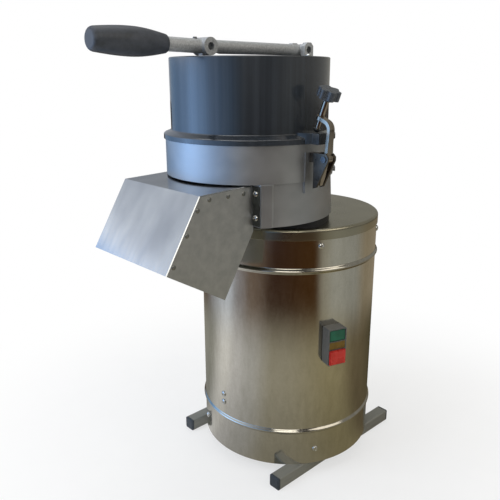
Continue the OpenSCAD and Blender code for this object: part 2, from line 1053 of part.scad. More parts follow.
module disc_knob() {
  color("#33373b")
    on_bowl(hub_top)
      difference() {
        union() {
          linear_extrude(knob_h - 4) {
            circle(knob_r - 3);
            for (i = [0:5])
              rotate(60 * i)
                translate([knob_r - 5, 0])
                  circle(5);
          }
          translate([0, 0, knob_h - 4])
            cylinder(h = 4, r1 = knob_r - 3, r2 = knob_r - 7);
        }
        translate([0, 0, -cut])
          cylinder(h = 14.5 + cut, r = stud_r + 0.02);
      }
}

// Corner of the hood's bend, moved inwards by t.
function hood_bend(t) =
  chute_corner + t * across + t * (1 - cos(chute_slope)) / sin(chute_slope) * down;

module chute_hood() {
  flange_y = chute_y - sheet_t;
  reach = sheet_t + chute_flange;
  color("#c3c6c8") {
    upright(-chute_y, chute_y)
      polygon([
        [face_x, chute_top], chute_corner, mouth_front, mouth_front + sheet_t * across,
        hood_bend(sheet_t), [face_x, chute_top - sheet_t]
      ]);
    difference() {
      for (y = [-flange_y, flange_y - sheet_t])
        upright(y, y + sheet_t)
          polygon([
            [face_x, chute_top - sheet_t / 2], hood_bend(sheet_t / 2), mouth_front + sheet_t / 2 * across,
            mouth_front + reach * across, hood_bend(reach), [face_x, chute_top - reach]
          ]);
      rivet_holes();
    }
  }
}

module chute_side(side) {
  y0 = side < 0 ? -chute_y : chute_y - sheet_t;
  fold = side < 0 ? -chute_y - chute_flange : chute_y - sheet_t;
  difference() {
    union() {
      upright(y0, y0 + sheet_t)
        polygon([
          [face_x, chute_top - sheet_t], hood_bend(sheet_t), mouth_front + sheet_t * across,
          mouth_rear, chute_heel
        ]);
      translate([face_x - sheet_t, fold, bowl_z + 2])
        cube([sheet_t, chute_flange + sheet_t, chute_top - sheet_t - bowl_z - 2]);
    }
    rivet_holes();
    bowl_screw_holes();
  }
}

module chute_front_side() {
  color("#a2a5a5")
    chute_side(-1);
}

module chute_rear_side() {
  color("#a2a5a5")
    chute_side(1);
}

// Sloping floor between the side plates, with a tab that lies on the bowl's outlet face.
module chute_floor() {
  tab_top = floor_z - 1;
  half = chute_y - sheet_t - slip;
  color("#b9bcbd")
    upright(-half, half)
      polygon([
        [face_x, tab_top], [face_x - sheet_t, tab_top], chute_heel - [sheet_t, 0],
        mouth_rear - sheet_t * across, mouth_rear, chute_heel
      ]);
}

// Rivets run along the top and the front edge of both side plates.
module each_rivet() {
  top = [for (d = [15, 45, 71]) chute_corner + d * [1, 0] - [0, rivet_inset]];
  front = [for (d = [16, 49, 90]) chute_corner + d * down + rivet_inset * across];
  for (p = concat(top, front), side = [-1, 1])
    translate([p[0], side * chute_y, p[1]])
      rotate([-side * 90, 0, 0])
        children();
}

module rivet_holes() {
  each_rivet()
    translate([0, 0, -2 * sheet_t - cut])
      cylinder(h = 2 * sheet_t + 2 * cut, r = rivet_r + slip);
}

module chute_rivets() {
  head_r = 2 * rivet_r;
  color("#c9cbcb")
    each_rivet() {
      cylinder(h = 0.7, r = head_r);
      translate([0, 0, 0.7])
        cylinder(h = 0.6, r1 = head_r, r2 = rivet_r);
      translate([0, 0, -2 * sheet_t])
        cylinder(h = 2 * sheet_t + 0.5, r = rivet_r);
      translate([0, 0, -2 * sheet_t - 1])
        cylinder(h = 1, r = rivet_r * 1.6);
    }
}

// Side view of the curved throat wall: the pusher's edge rises on an arc of the lever's length.
module throat_arc(r, y) {
  translate([bowl_x - pusher_edge + lever_l, 0, pusher_z])
    cross_cylinder(r, -y, y);
}

// Lug of the flange, wide at the wall and narrow at its end.
module lug_outline(side) {
  half = lug_w / 2;
  root = lug_root / 2;
  right = [
    [half, lug_out], [half, lug_out - 11], [root - 5.5, flange_r + 0.6],
    [root, hopper_r + 1], [root, hopper_r - 3]
  ];
  polygon(concat(
    [for (p = right) [p[0], side * p[1]]],
    [for (i = [4:-1:0]) [-right[i][0], side * right[i][1]]]
  ));
}

module hopper() {
  in_r = hopper_r - hopper_t;
  wall_r = lever_l - throat_gap;
  spigot_r = chamber_r - 0.5;
  color("#3a3f47")
    difference() {
      union() {
        on_bowl(rim_z)
          rotate_extrude()
            polygon([
              [in_r, -10], [spigot_r, -10], [spigot_r, 0], [flange_r, 0], [flange_r, flange_edge - 1.5],
              [flange_r - 1.5, flange_edge], [hopper_r + 1.5, flange_t - 1],
              [hopper_r, flange_t + 0.5], [hopper_r, hopper_h - 1],
              [hopper_r - 1, hopper_h], [in_r, hopper_h]
            ]);
        intersection() {
          difference() {
            throat_arc(wall_r, hopper_r);
            throat_arc(wall_r - 4, hopper_r + cut);
          }
          on_bowl(throat_z)
            cylinder(h = hopper_top - throat_z, r = in_r + 0.5);
          translate([bowl_x - pusher_edge, -hopper_r, throat_z - cut])
            cube([hopper_r, 2 * hopper_r, hopper_top - throat_z + cut]);
        }
        intersection() {
          throat_arc(wall_r, hopper_r);
          on_bowl(hopper_top - 8)
            cylinder(h = 8, r = in_r + 0.5);
        }
        for (side = [-1, 1])
          on_bowl(rim_z)
            linear_extrude(lug_top - rim_z)
              lug_outline(side);
      }
      bracket_bolt_holes();
    }
}

// Hook over the hopper's rear lug.
module hopper_keeper() {
  w = 24;
  base = pad_face;
  t = 4;
  foot = rim_z - 44;
  color("#8d9398")
    difference() {
      translate([bowl_x - w / 2, 0, 0])
        rotate([90, 0, 90])
          linear_extrude(w)
            polygon([
              [base, foot], [base + ear_plate_t, foot], [base + ear_plate_t, rim_z - 12],
              [lug_out + 1 + t, rim_z - 12], [lug_out + 1 + t, lug_top + 0.3 + t],
              [flange_r + 3, lug_top + 0.3 + t], [flange_r + 3, lug_top + 0.3],
              [lug_out + 1, lug_top + 0.3], [lug_out + 1, rim_z - 8], [base, rim_z - 8]
            ]);
      bowl_screw_holes();
    }
}

module each_bracket_bolt() {
  for (side = [-1, 1])
    translate([pivot_x - 8, side * (eye_half + fork_gap + ear_t + 6), hopper_top])
      children();
}

module bracket_bolt_holes() {
  each_bracket_bolt()
    translate([0, 0, -7])
      cylinder(h = 12, d = bowl_screw_d + seat);
}

// Fork with two chamfered ears on the hopper's closed half.
module lever_bracket() {
  in_y = eye_half + fork_gap;
  corner = 5;
  top = lever_z + ear_rise;
  color("#9a9c9c")
    difference() {
      union() {
        translate([pivot_x - 20, -in_y - ear_t - 12, hopper_top])
          cube([20 + ear_half, 2 * (in_y + ear_t + 12), bracket_t]);
        for (side = [-1, 1])
          upright(min(side * in_y, side * (in_y + ear_t)), max(side * in_y, side * (in_y + ear_t)))
            polygon([
              [pivot_x - ear_half, hopper_top + cut], [pivot_x + ear_half, hopper_top + cut],
              [pivot_x + ear_half, top - corner], [pivot_x + ear_half - corner, top],
              [pivot_x - ear_half + corner, top], [pivot_x - ear_half, top - corner]
            ]);
      }
      translate([pivot_x, 0, lever_z])
        cross_cylinder(lever_pin_d / 2 + 0.02, -in_y - ear_t - cut, in_y + ear_t + cut);
      bracket_bolt_holes();
    }
}

module bracket_bolts() {
  color("#d8d8d4")
    each_bracket_bolt()
      translate([0, 0, bracket_t])
        pan_screw(bowl_screw_d, bowl_screw_head_r, bracket_t + 6);
}

module lever_pin() {
  half = eye_half + fork_gap + ear_t - 1.5;
  color("#6d7174")
    translate([pivot_x, 0, lever_z])
      cross_cylinder(lever_pin_d / 2, -half, half);
}

// Slot under the pin's boss in which the pusher's stem swings while the lever rises.
module stem_slot() {
  r = stem_half + 0.6;
  edge = r * [cos(lift_max), sin(lift_max)];
  run = [sin(lift_max), -cos(lift_max)];
  deep = -boss_r - 3;
  upright(-stem_t / 2 - fork_gap, stem_t / 2 + fork_gap) {
    circle(stem_eye_r + 0.6);
    polygon([[-r, 0], [-r, deep], edge + run * (edge[1] - deep) / cos(lift_max), edge]);
  }
}

module lever_arm() {
  arm_r = arm_d / 2;
  color("#9b9d9d")
    translate([pivot_x, 0, lever_z])
      difference() {
        union() {
          rotate([0, -90, 0])
            cylinder(h = lever_l, r1 = arm_r - 1, r2 = arm_r);
          translate([-lever_l, 0, 0])
            rotate([0, arm_bend - 90, 0]) {
              cylinder(h = grip_gap, r = arm_r);
              translate([0, 0, grip_gap - cut])
                cylinder(h = grip_len - 15, r = tang_r);
            }
          cross_cylinder(eye_r, -eye_half, eye_half);
          translate([-lever_l, 0, 0])
            cross_cylinder(boss_r, -boss_half, boss_half);
        }
        cross_cylinder(lever_pin_d / 2 + slip, -eye_half - cut, eye_half + cut);
        translate([-lever_l, 0, 0]) {
          cross_cylinder(lever_pin_d / 2 + 0.02, -boss_half - cut, boss_half + cut);
          stem_slot();
        }
        translate([-lever_l - boss_r - 4, 0, arm_r - 4])
          cylinder(h = 6, r = 3.02);
      }
}

module lever_set_screw() {
  color("#5c6063")
    translate([boss_x - boss_r - 4, 0, lever_z + arm_d / 2 - 4]) {
      cylinder(h = 5, r = 3);
      translate([0, 0, 4.5])
        cylinder(h = 2, r1 = 3, r2 = 2.4);
    }
}

// Radius of the grip at fraction t from its inner end.
function grip_radius(t) =
  let (widest = 0.48, inner = 11.4, outer = 13.6)
  t < widest
    ? inner + (grip_d / 2 - inner) * sin(90 * t / widest)
    : outer + (grip_d / 2 - outer) * cos(90 * (t - widest) / (1 - widest));

module lever_grip() {
  end_r = grip_radius(0.97);
  steps = 20;
  color("#3d4045")
    translate([boss_x, 0, lever_z])
      rotate([0, arm_bend - 90, 0])
        translate([0, 0, grip_gap])
          difference() {
            rotate_extrude()
              polygon(concat(
                [[0, 0]],
                [for (i = [0:steps]) [grip_radius(0.95 * i / steps), 0.95 * grip_len * i / steps]],
                [for (a = [20:20:80])
                  [end_r - 5 + 5 * cos(a), grip_len * 0.95 + (grip_len * 0.05) * sin(a)]],
                [[0, grip_len]]
              ));
            translate([0, 0, -cut])
              cylinder(h = grip_len - 14, r = tang_r + slip);
          }
}

module pusher_pin() {
  color("#6d7174")
    translate([boss_x, 0, lever_z])
      cross_cylinder(lever_pin_d / 2, -boss_half + 3, boss_half - 3);
}

// Half-moon plate on a flat stem with two gussets.
module pusher() {
  stem_top = lever_z;
  color("#a7aaaa") {
    difference() {
      union() {
        on_bowl(pusher_z)
          linear_extrude(pusher_t)
            intersection() {
              circle(pusher_r);
              translate([-pusher_edge - 2 * pusher_r, -pusher_r])
                square(2 * pusher_r);
            }
        upright(-stem_t / 2, stem_t / 2)
          polygon([
            [boss_x - stem_half, pusher_z + cut], [boss_x + stem_half, pusher_z + cut],
            [boss_x + stem_half, stem_top], [boss_x - stem_half, stem_top]
          ]);
        translate([boss_x, 0, lever_z])
          cross_cylinder(stem_eye_r, -stem_t / 2, stem_t / 2);
        translate([boss_x - 3, 0, 0])
          rotate([90, 0, 90])
            linear_extrude(6)
              polygon([
                [-45, pusher_z + cut], [45, pusher_z + cut], [45, pusher_z + pusher_t + 3],
                [stem_t / 2, pusher_z + 48], [-stem_t / 2, pusher_z + 48], [-45, pusher_z + pusher_t + 3]
              ]);
      }
      translate([boss_x, 0, lever_z])
        cross_cylinder(lever_pin_d / 2 + slip, -stem_t, stem_t);
    }
  }
}

// Bracket with two tapered ears that carries the clamp's pin.
module clamp_bracket() {
  in_x = clamp_w / 2 + bracket_gap;
  back = pad_face + ear_back;
  tip = clamp_pivot[0] + 7;
  foot = rim_z - 58;
  web_foot = rim_z - 24;
  web_head = rim_z - 11.5;
  color("#7e8894")
    difference() {
      union() {
        front_section(2 * in_x)
          polygon([
            [pad_face, web_foot], [back + 1, web_foot], [back + 1, web_head], [pad_face, web_head]
          ]);
        front_section(2 * in_x + ear_plate_t)
          polygon([
            [back, web_foot], [back + ear_plate_t, web_foot],
            [back + ear_plate_t, web_head], [back, web_head]
          ]);
        for (side = [-1, 1])
          translate([side * (in_x + ear_plate_t / 2), 0, 0])
            front_section(ear_plate_t)
              polygon([
                [back, foot], [back + 6, foot + 2], [tip, clamp_pivot[1] - 2], [tip, clamp_pivot[1] + 3],
                [tip - 4, rim_z - 11], [back, rim_z - 11]
              ]);
      }
      translate([bowl_x - 30, -clamp_pivot[0], clamp_pivot[1]])
        rotate([0, 90, 0])
          cylinder(h = 60, d = clamp_pin_d + 0.04);
      bowl_screw_holes();
    }
}

module clamp_pin() {
  half = clamp_w / 2 + bracket_gap + ear_plate_t;
  color("#b9bfc6")
    translate([bowl_x, -clamp_pivot[0], clamp_pivot[1]])
      rotate([0, 90, 0]) {
        translate([0, 0, -half])
          cylinder(h = 2 * half, d = clamp_pin_d);
        for (z = [-half - 1.2, half])
          translate([0, 0, z])
            cylinder(h = 1.2, r = clamp_pin_d / 2 + 1.2);
      }
}

// Points of a strip of thickness t along a path.
function strip(path, t) =
  let (
    last = len(path) - 1,
    dir = [for (i = [0:last])
      let (d = path[min(i + 1, last)] - path[max(i - 1, 0)]) d / norm(d)],
    left = [for (i = [0:last]) path[i] + t / 2 * [-dir[i][1], dir[i][0]]],
    right = [for (i = [last:-1:0]) path[i] - t / 2 * [-dir[i][1], dir[i][0]]]
  )
  concat(left, right);

// The bar's middle line: a plate square to the screw, a round bend, a leg down to the pin and a thumb end.
function clamp_path() =
  let (
    along = [cos(clamp_tilt), -sin(clamp_tilt)],
    lead = 11.5,
    lean = 8,
    start = clamp_hole + lead * along,
    centre = start - bend_r * clamp_axis,
    turn = 90 - clamp_tilt + lean
  )
  concat(
    [clamp_hole],
    [for (i = [0:6])
      let (a = 90 - clamp_tilt - turn * i / 6) centre + bend_r * [cos(a), sin(a)]],
    [clamp_pivot, clamp_pivot + thumb_len * [-sin(19), -cos(19)]]
  );

module clamp_lever() {
  barrel_r = clamp_pin_d / 2 + 2.6;
  color("#c2c3bd")
    difference() {
      union() {
        difference() {
          front_section(clamp_w)
            polygon(strip(clamp_path(), clamp_t));
          thumb_taper();
        }
        translate([bowl_x - clamp_w / 2, -clamp_pivot[0], clamp_pivot[1]])
          rotate([0, 90, 0])
            cylinder(h = clamp_w, r = barrel_r);
        along_screw(-clamp_t / 2 - 0.2)
          cylinder(h = clamp_t + 0.4, r = clamp_w / 2 + 0.5);
      }
      translate([bowl_x - clamp_w, -clamp_pivot[0], clamp_pivot[1]])
        rotate([0, 90, 0])
          cylinder(h = 2 * clamp_w, r = clamp_pin_d / 2 + slip);
      along_screw(-10)
        cylinder(h = 20, r = clamp_screw_d / 2 + slip);
    }
}

// Narrows the clamp's lower end to a thumb tip.
module thumb_taper() {
  far = 40;
  for (side = [-1, 1])
    translate([bowl_x, 0, clamp_pivot[1]])
      rotate([90, 0, 0])
        linear_extrude(200)
          polygon([
            [side * (clamp_w / 2 + 0.5), -6], [side * (clamp_w / 2 + 3), -6],
            [side * (clamp_w / 2 + 3), -far], [side * clamp_w / 4, -far]
          ]);
}

// Places children on the clamp screw's axis, s along it from the plate's hole.
module along_screw(s) {
  translate([bowl_x, -clamp_hole[0] - s * clamp_axis[0], clamp_hole[1] + s * clamp_axis[1]])
    rotate([clamp_tilt, 0, 0])
      children();
}

module clamp_screw() {
  shoulder_s = clamp_t / 2 + 1.2;
  color("#c2c3bd") {
    along_screw(-nose_s) {
      cylinder(h = nose_s + knob_s + 10, d = clamp_screw_d);
      translate([0, 0, -2.5])
        cylinder(h = 3, d = clamp_screw_d - 3);
    }
    along_screw(shoulder_s)
      cylinder(h = knob_s - shoulder_s, d = clamp_screw_d + 2);
  }
}

module clamp_knob() {
  lobe_r = clamp_knob_d * 0.16;
  color("#4a5058")
    along_screw(knob_s)
      difference() {
        union() {
          translate([0, 0, 3])
            linear_extrude(clamp_knob_h - 3) {
              circle(clamp_knob_d / 2 - 3);
              for (i = [0:5])
                rotate(60 * i)
                  translate([clamp_knob_d / 2 - lobe_r, 0])
                    circle(lobe_r);
            }
          cylinder(h = 4, r = clamp_screw_d / 2 + 4);
        }
        translate([0, 0, -cut])
          cylinder(h = 10.5 + cut, d = clamp_screw_d + 0.04);
      }
}

// Domed nose that turns freely on the screw's tip and presses on the hopper's lug.
module clamp_nose() {
  color("#8f9396")
    along_screw(-nose_s)
      difference() {
        intersection() {
          sphere(nose_r);
          translate([0, 0, -nose_r])
            cylinder(h = nose_r - slip, r = nose_r + cut);
        }
        translate([0, 0, -2.6])
          cylinder(h = 4, d = clamp_screw_d - 3 + 2 * slip);
      }
}

switch_neck_d = 22;
switch_rim = 1.6;
pocket_w = switch_w - 2 * switch_rim;
start_h = 17.6;
lens_h = 11.6;
stop_h = switch_h - 2 * switch_rim - start_h - lens_h - 2;
pocket_floor = 4;
button_gap = 0.3;

// Places children on the casing at the switch: X runs round the casing, Y up and Z outwards.
module at_switch() {
  rotate([0, 0, switch_az])
    translate([casing_r, 0, switch_z])
      rotate([90, 0, 90])
        children();
}

// Middle heights of the three fields of the switch.
start_y = switch_h / 2 - switch_rim - start_h / 2;
lens_y = start_y - start_h / 2 - 1 - lens_h / 2;
stop_y = lens_y - lens_h / 2 - 1 - stop_h / 2;

module switch_body() {
  color("#6f7478")
    at_switch()
      difference() {
        union() {
          linear_extrude(switch_d)
            rounded_rect(switch_w, switch_h, 2);
          translate([0, 0, -14])
            cylinder(h = 14 + cut, d = switch_neck_d);
        }
        for (field = [[start_y, start_h], [lens_y, lens_h], [stop_y, stop_h]])
          translate([0, field[0], pocket_floor])
            linear_extrude(switch_d)
              rounded_rect(pocket_w, field[1], 1);
      }
}

// Push button whose face stands at height top above the casing.
module push_button(y, h, top) {
  foot = pocket_floor + button_travel + 1;
  w = pocket_w - 2 * button_gap;
  at_switch()
    translate([0, y, 0]) {
      translate([0, 0, foot])
        linear_extrude(top - foot - 1)
          rounded_rect(w, h - 2 * button_gap, 1);
      translate([0, 0, top - 1])
        linear_extrude(1)
          rounded_rect(w - 1.6, h - 2 * button_gap - 1.6, 1);
      translate([0, 0, pocket_floor + button_travel + 0.2])
        linear_extrude(2)
          rounded_rect(w - 6, h - 6, 1);
    }
}

module start_button() {
  color("#1f6b4f")
    push_button(start_y, start_h, switch_d - 0.2);
}

module stop_button() {
  color("#c63a34")
    push_button(stop_y, stop_h, switch_d + 3.5);
}

module pilot_lens() {
  color("#a5741c")
    at_switch()
      translate([0, lens_y, pocket_floor])
        linear_extrude(switch_d - pocket_floor - 0.4)
          rounded_rect(pocket_w - seat, lens_h - seat, 1);
}

module contact_block() {
  color("#2b2e31")
    at_switch()
      difference() {
        translate([0, 0, -44])
          linear_extrude(38)
            rounded_rect(28, 44, 2);
        translate([0, 0, -14])
          cylinder(h = 20, d = switch_neck_d + 0.04);
      }
}

front_skid();
rear_skid();
skid_end_caps();
base_pan();
casing();
top_cover();
casing_screws();
cable_gland();
frame_pillars();
deck_plate();
motor_body();
motor_plate();
motor_studs();
motor_shaft();
motor_pulley();
drive_belt();
spindle();
spindle_pulley();
pulley_nut();
bearing_housing();
spindle_bearings();
spindle_seal();
run_capacitor();
capacitor_clip();
bowl();
bowl_gasket();
bowl_bolts();
bowl_screws();
ejector_disc();
cutting_disc();
slicing_knives();
knife_screws();
disc_knob();
chute_hood();
chute_front_side();
chute_rear_side();
chute_floor();
chute_rivets();
hopper();
hopper_keeper();
lever_bracket();
bracket_bolts();
lever_pin();
lever_arm();
lever_set_screw();
lever_grip();
pusher_pin();
pusher();
clamp_bracket();
clamp_pin();
clamp_lever();
clamp_screw();
clamp_knob();
clamp_nose();
switch_body();
start_button();
stop_button();
pilot_lens();
contact_block();
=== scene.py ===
import math

import bmesh
import bpy
from mathutils import Matrix, Vector


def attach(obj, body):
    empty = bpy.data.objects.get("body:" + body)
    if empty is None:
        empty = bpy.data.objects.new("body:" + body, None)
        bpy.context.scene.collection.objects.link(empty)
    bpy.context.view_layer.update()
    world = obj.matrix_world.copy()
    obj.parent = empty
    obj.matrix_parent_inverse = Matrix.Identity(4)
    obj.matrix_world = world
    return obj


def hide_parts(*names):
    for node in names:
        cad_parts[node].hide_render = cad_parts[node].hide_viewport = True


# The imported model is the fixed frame. Sizes below are in millimetres in the same frame:
# the table is z = 0, the casing's axis is x = y = 0, and the chute points to -X.
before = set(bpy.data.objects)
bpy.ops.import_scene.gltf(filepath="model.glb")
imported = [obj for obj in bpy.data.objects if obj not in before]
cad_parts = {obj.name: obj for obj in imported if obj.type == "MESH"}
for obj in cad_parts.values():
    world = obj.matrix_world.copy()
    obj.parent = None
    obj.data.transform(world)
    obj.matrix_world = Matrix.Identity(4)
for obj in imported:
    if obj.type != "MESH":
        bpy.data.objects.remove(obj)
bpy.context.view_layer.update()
MM = 0.001

# The camera stands level with the hopper, off the chute's near corner, and looks down across
# the machine. Its lens, shift, place and turn are fitted to the machine's outlines.
camera = bpy.data.objects.new("camera", bpy.data.cameras.new("camera"))
bpy.context.scene.collection.objects.link(camera)
bpy.context.scene.camera = camera
camera.data.sensor_width = 36
camera.data.lens = 42.08
camera.data.shift_x = -0.013
camera.data.shift_y = -0.0129
camera.data.clip_end = 30
camera_place = Vector((-667.25, -635.33, 605.02))
right = Vector((0.729257, -0.68424, 0))
up = Vector((0.190654, 0.203198, 0.960397))
camera_turn = Matrix((right, up, right.cross(up))).transposed().to_4x4()
camera.matrix_world = Matrix.Translation(camera_place * MM) @ camera_turn


# The skids are two lengths of square steel tube, ground satin, welded under the base pan.
# Their ends are closed by dark plastic caps that are pressed into the tube.
def linear(hexcode):
    """sRGB hex colour as linear RGBA."""
    channels = [int(hexcode[i : i + 2], 16) / 255 for i in (1, 3, 5)]
    return [c / 12.92 if c <= 0.04045 else ((c + 0.055) / 1.055) ** 2.4 for c in channels] + [1]


def add(tree, kind, inputs=None, **settings):
    """Adds a node with its settings. An input is a value or another node's output."""
    made = tree.nodes.new(kind)
    for key, value in settings.items():
        setattr(made, key, value)
    for key, value in (inputs or {}).items():
        if isinstance(value, bpy.types.NodeSocket):
            tree.links.new(value, made.inputs[key])
        else:
            made.inputs[key].default_value = value
    return made


def blank(name, metallic=0.0):
    """A new material, with its node tree, its shader and the object's coordinates."""
    material = bpy.data.materials.new(name)
    material.use_nodes = True
    tree = material.node_tree
    shader = tree.nodes["Principled BSDF"]
    shader.inputs["Metallic"].default_value = metallic
    return material, tree, shader, add(tree, "ShaderNodeTexCoord").outputs["Object"]


def grain(tree, place, size_mm, detail=3.0, rough=0.5):
    """A pattern whose patches measure size_mm: one number, or one each along X, Y and Z."""
    sizes = size_mm if isinstance(size_mm, tuple) else (size_mm,) * 3
    scale = [1 / (size * MM) for size in sizes]
    scaled = add(tree, "ShaderNodeMapping", {"Vector": place, "Scale": scale})
    return add(
        tree,
        "ShaderNodeTexNoise",
        {"Vector": scaled.outputs[0], "Scale": 1.0, "Detail": detail, "Roughness": rough},
    ).outputs["Fac"]


def vary(tree, shader, pattern, tones=None, roughness=None):
    """Lets a pattern move the colour between two tones and the roughness between two numbers."""
    low, high = 0.3, 0.7  # nearly all of a noise lies between these
    if tones:
        ramp = add(tree, "ShaderNodeValToRGB", {"Fac": pattern})
        for i, position in enumerate((low, high)):
            ramp.color_ramp.elements[i].position = position
            ramp.color_ramp.elements[i].color = linear(tones[i])
        tree.links.new(ramp.outputs["Color"], shader.inputs["Base Color"])
    if roughness:
        ends = {"From Min": low, "From Max": high, "To Min": roughness[0], "To Max": roughness[1]}
        span = add(tree, "ShaderNodeMapRange", {"Value": pattern, **ends})
        tree.links.new(span.outputs["Result"], shader.inputs["Roughness"])


def surface(
    name,
    tones,
    roughness,
    patch,
    detail=3.0,
    rough=0.5,
    metallic=0.0,
    grit=None,
    depth=0.0,
    strength=1.0,
    grit_detail=3.0,
    grit_rough=0.5,
):
    """A material whose tone and roughness drift over patches of a size in mm.

    A relief with a grit and a depth in mm breaks up its highlights.
    """
    material, tree, shader, place = blank(name, metallic)
    vary(tree, shader, grain(tree, place, patch, detail, rough), tones, roughness)
    if grit:
        height = grain(tree, place, grit, grit_detail, grit_rough)
        relief = {"Height": height, "Distance": depth * MM, "Strength": strength}
        bump = add(tree, "ShaderNodeBump", relief)
        tree.links.new(bump.outputs["Normal"], shader.inputs["Normal"])
    return material


def shade(mesh, angle):
    """Smooth shading with edges over that angle kept sharp."""
    mesh.shade_smooth()
    mesh.set_sharp_from_angle(angle=math.radians(angle))


def settle(mesh, name, material, body, *replaced):
    """Makes an object of a mesh, which rides on a body and stands for CAD nodes."""
    mesh.name = name
    mesh.materials.clear()
    mesh.materials.append(material)
    made = bpy.data.objects.new(name, mesh)
    bpy.context.scene.collection.objects.link(made)
    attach(made, body)
    if replaced:
        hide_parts(*replaced)
    return made


def eased(node, name, material, body, radius, segments=2, angle=28, chosen=None):
    """The node's shape with its hard edges, or the chosen ones, eased to a radius in mm."""
    weld = 0.004  # mm, joins the loose triangles
    flat = math.radians(0.4)  # faces that turn less than this are one face
    shape = bmesh.new()
    shape.from_mesh(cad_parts[node].data)
    bmesh.ops.remove_doubles(shape, verts=shape.verts, dist=weld * MM)
    bmesh.ops.dissolve_limit(shape, angle_limit=flat, verts=shape.verts, edges=shape.edges)
    hard = [
        e
        for e in shape.edges
        if len(e.link_faces) == 2
        and e.calc_face_angle(0) > math.radians(angle)
        and (chosen is None or chosen(e))
    ]
    bmesh.ops.bevel(
        shape,
        geom=hard,
        offset=radius * MM,
        offset_type="OFFSET",
        segments=segments,
        profile=0.5,
        affect="EDGES",
        clamp_overlap=chosen is None,
    )
    mesh = bpy.data.meshes.new(name)
    shape.to_mesh(mesh)
    shape.free()
    if "custom_normal" in mesh.attributes:
        mesh.attributes.remove(mesh.attributes["custom_normal"])
    shade(mesh, angle=38)
    made = settle(mesh, name, material, body, node)
    made.modifiers.new("even shading", "WEIGHTED_NORMAL").keep_sharp = True
    return made


# Satin steel has a dull grey sheen, drawn out in fine lines along the tube.
skid_steel = surface(
    "satin_rolled_steel",
    ("#85857e", "#97978f"),
    (0.44, 0.56),
    patch=(40, 0.8, 0.8),
    metallic=0.4,
    grit=(60, 0.6, 0.6),
    depth=0.02,
)
for side in ("front", "rear"):
    eased(f"{side}_skid", f"{side}_skid_tube", skid_steel, "machine", radius=0.5)

# Moulded polyethylene is dark and dull, with a pebble that softens its highlights.
cap_plastic = surface(
    "moulded_polyethylene", ("#30363d", "#3b4249"), (0.45, 0.58), patch=3, grit=0.8, depth=0.02
)
eased("skid_end_caps", "skid_caps", cap_plastic, "machine", radius=0.8)


# The base pan, the pillars and the deck plate are the frame inside the casing.
# The pan and the plate are folded from sheet steel and primed, and the pillars are turned.
def dress(material, *names):
    """Gives CAD nodes that keep their shape a finish."""
    for name in names:
        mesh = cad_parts[name].data
        mesh.materials.clear()
        mesh.materials.append(material)


# Primer is flat and even, with a slight texture from the spray.
primer = surface(
    "grey_primer_paint", ("#868987", "#959896"), (0.5, 0.62), patch=25, grit=1.5, depth=0.03
)
dress(primer, "base_pan", "deck_plate")

# Turned steel is bright, with fine tool lines round each upright bar.
turned_steel = surface(
    "turned_bright_steel", ("#9c9d9a", "#b6b7b4"), (0.24, 0.36), patch=(6, 6, 0.3), metallic=1.0
)
dress(turned_steel, "frame_pillars")

# The casing is one sheet of cold-rolled stainless steel bent to a drum, with two beads rolled in.
# It stands round the base pan and the deck, and screws hold it to both.
casing_radius = 140
casing_foot = 20
casing_head = 397
casing_sheet = 1.5
bead_heights = (78, 337)
bead_proud = 3
bead_half = 4.4
bead_fullness = 0.75


def bead_rise(z):
    """How far the wall stands out at height z."""
    off = min(abs(z - height) for height in bead_heights)
    if off >= bead_half:
        return 0.0
    return bead_proud * (0.5 + 0.5 * math.cos(math.pi * off / bead_half)) ** bead_fullness


def turned(name, outline, material, body, *replaced):
    """Closed outline of (radius, height) points turned about the casing's axis."""
    steps = 240
    weld, sliver = 0.001, 0.0005  # mm
    shape = bmesh.new()
    rings = []
    for i in range(steps):
        x, y = math.cos(2 * math.pi * i / steps), math.sin(2 * math.pi * i / steps)
        rings.append([shape.verts.new((r * x * MM, r * y * MM, z * MM)) for r, z in outline])
    for i in range(steps):
        here, there = rings[i], rings[(i + 1) % steps]
        for j in range(len(outline)):
            k = (j + 1) % len(outline)
            shape.faces.new((here[j], there[j], there[k], here[k]))
    bmesh.ops.remove_doubles(shape, verts=shape.verts, dist=weld * MM)
    bmesh.ops.dissolve_degenerate(shape, edges=shape.edges, dist=sliver * MM)
    bmesh.ops.recalc_face_normals(shape, faces=shape.faces)
    mesh = bpy.data.meshes.new(name)
    shape.to_mesh(mesh)
    shape.free()
    shade(mesh, angle=32)
    return settle(mesh, name, material, body, *replaced)


heights = [casing_foot, casing_foot + 1]
for height in bead_heights:
    heights += [height - bead_half - off for off in (3, 0.5)]
    heights += [height + bead_half * step / 8 for step in range(-8, 9)]
    heights += [height + bead_half + off for off in (0.5, 3)]
heights += [casing_head - 1, casing_head]
outer = [(casing_radius + bead_rise(z), z) for z in heights]
inner = [(r - casing_sheet, z) for r, z in reversed(outer)]

# The mill finish mirrors the room softly, with an upright mottle and slow waves in the sheet.
# The sheet's crystal pattern is drawn at 3.2 mm, coarser than the real one, so that it shows.
spangle_mm = 3.2
spangle_share = 0.14
wave_depth = 0.8
wave_strength = 0.3
mill_steel, tree, shader, place = blank("cold_rolled_stainless", 1.0)
mottle = grain(tree, place, (9, 9, 30), detail=4.0, rough=0.6)
fine = add(tree, "ShaderNodeMapping", {"Vector": place, "Scale": [1 / (spangle_mm * MM)] * 3})
spangle = add(tree, "ShaderNodeTexVoronoi", {"Vector": fine.outputs[0], "Scale": 1.0})
skin = add(
    tree, "ShaderNodeMix", {"Factor": spangle_share, 2: mottle, 3: spangle.outputs["Color"]}
)
vary(tree, shader, skin.outputs[0], ("#b6b3a9", "#c4c1b8"), (0.12, 0.17))
slow = grain(tree, place, (90, 90, 160), detail=0.0)
waves = add(
    tree,
    "ShaderNodeBump",
    {"Height": slow, "Distance": wave_depth * MM, "Strength": wave_strength},
)
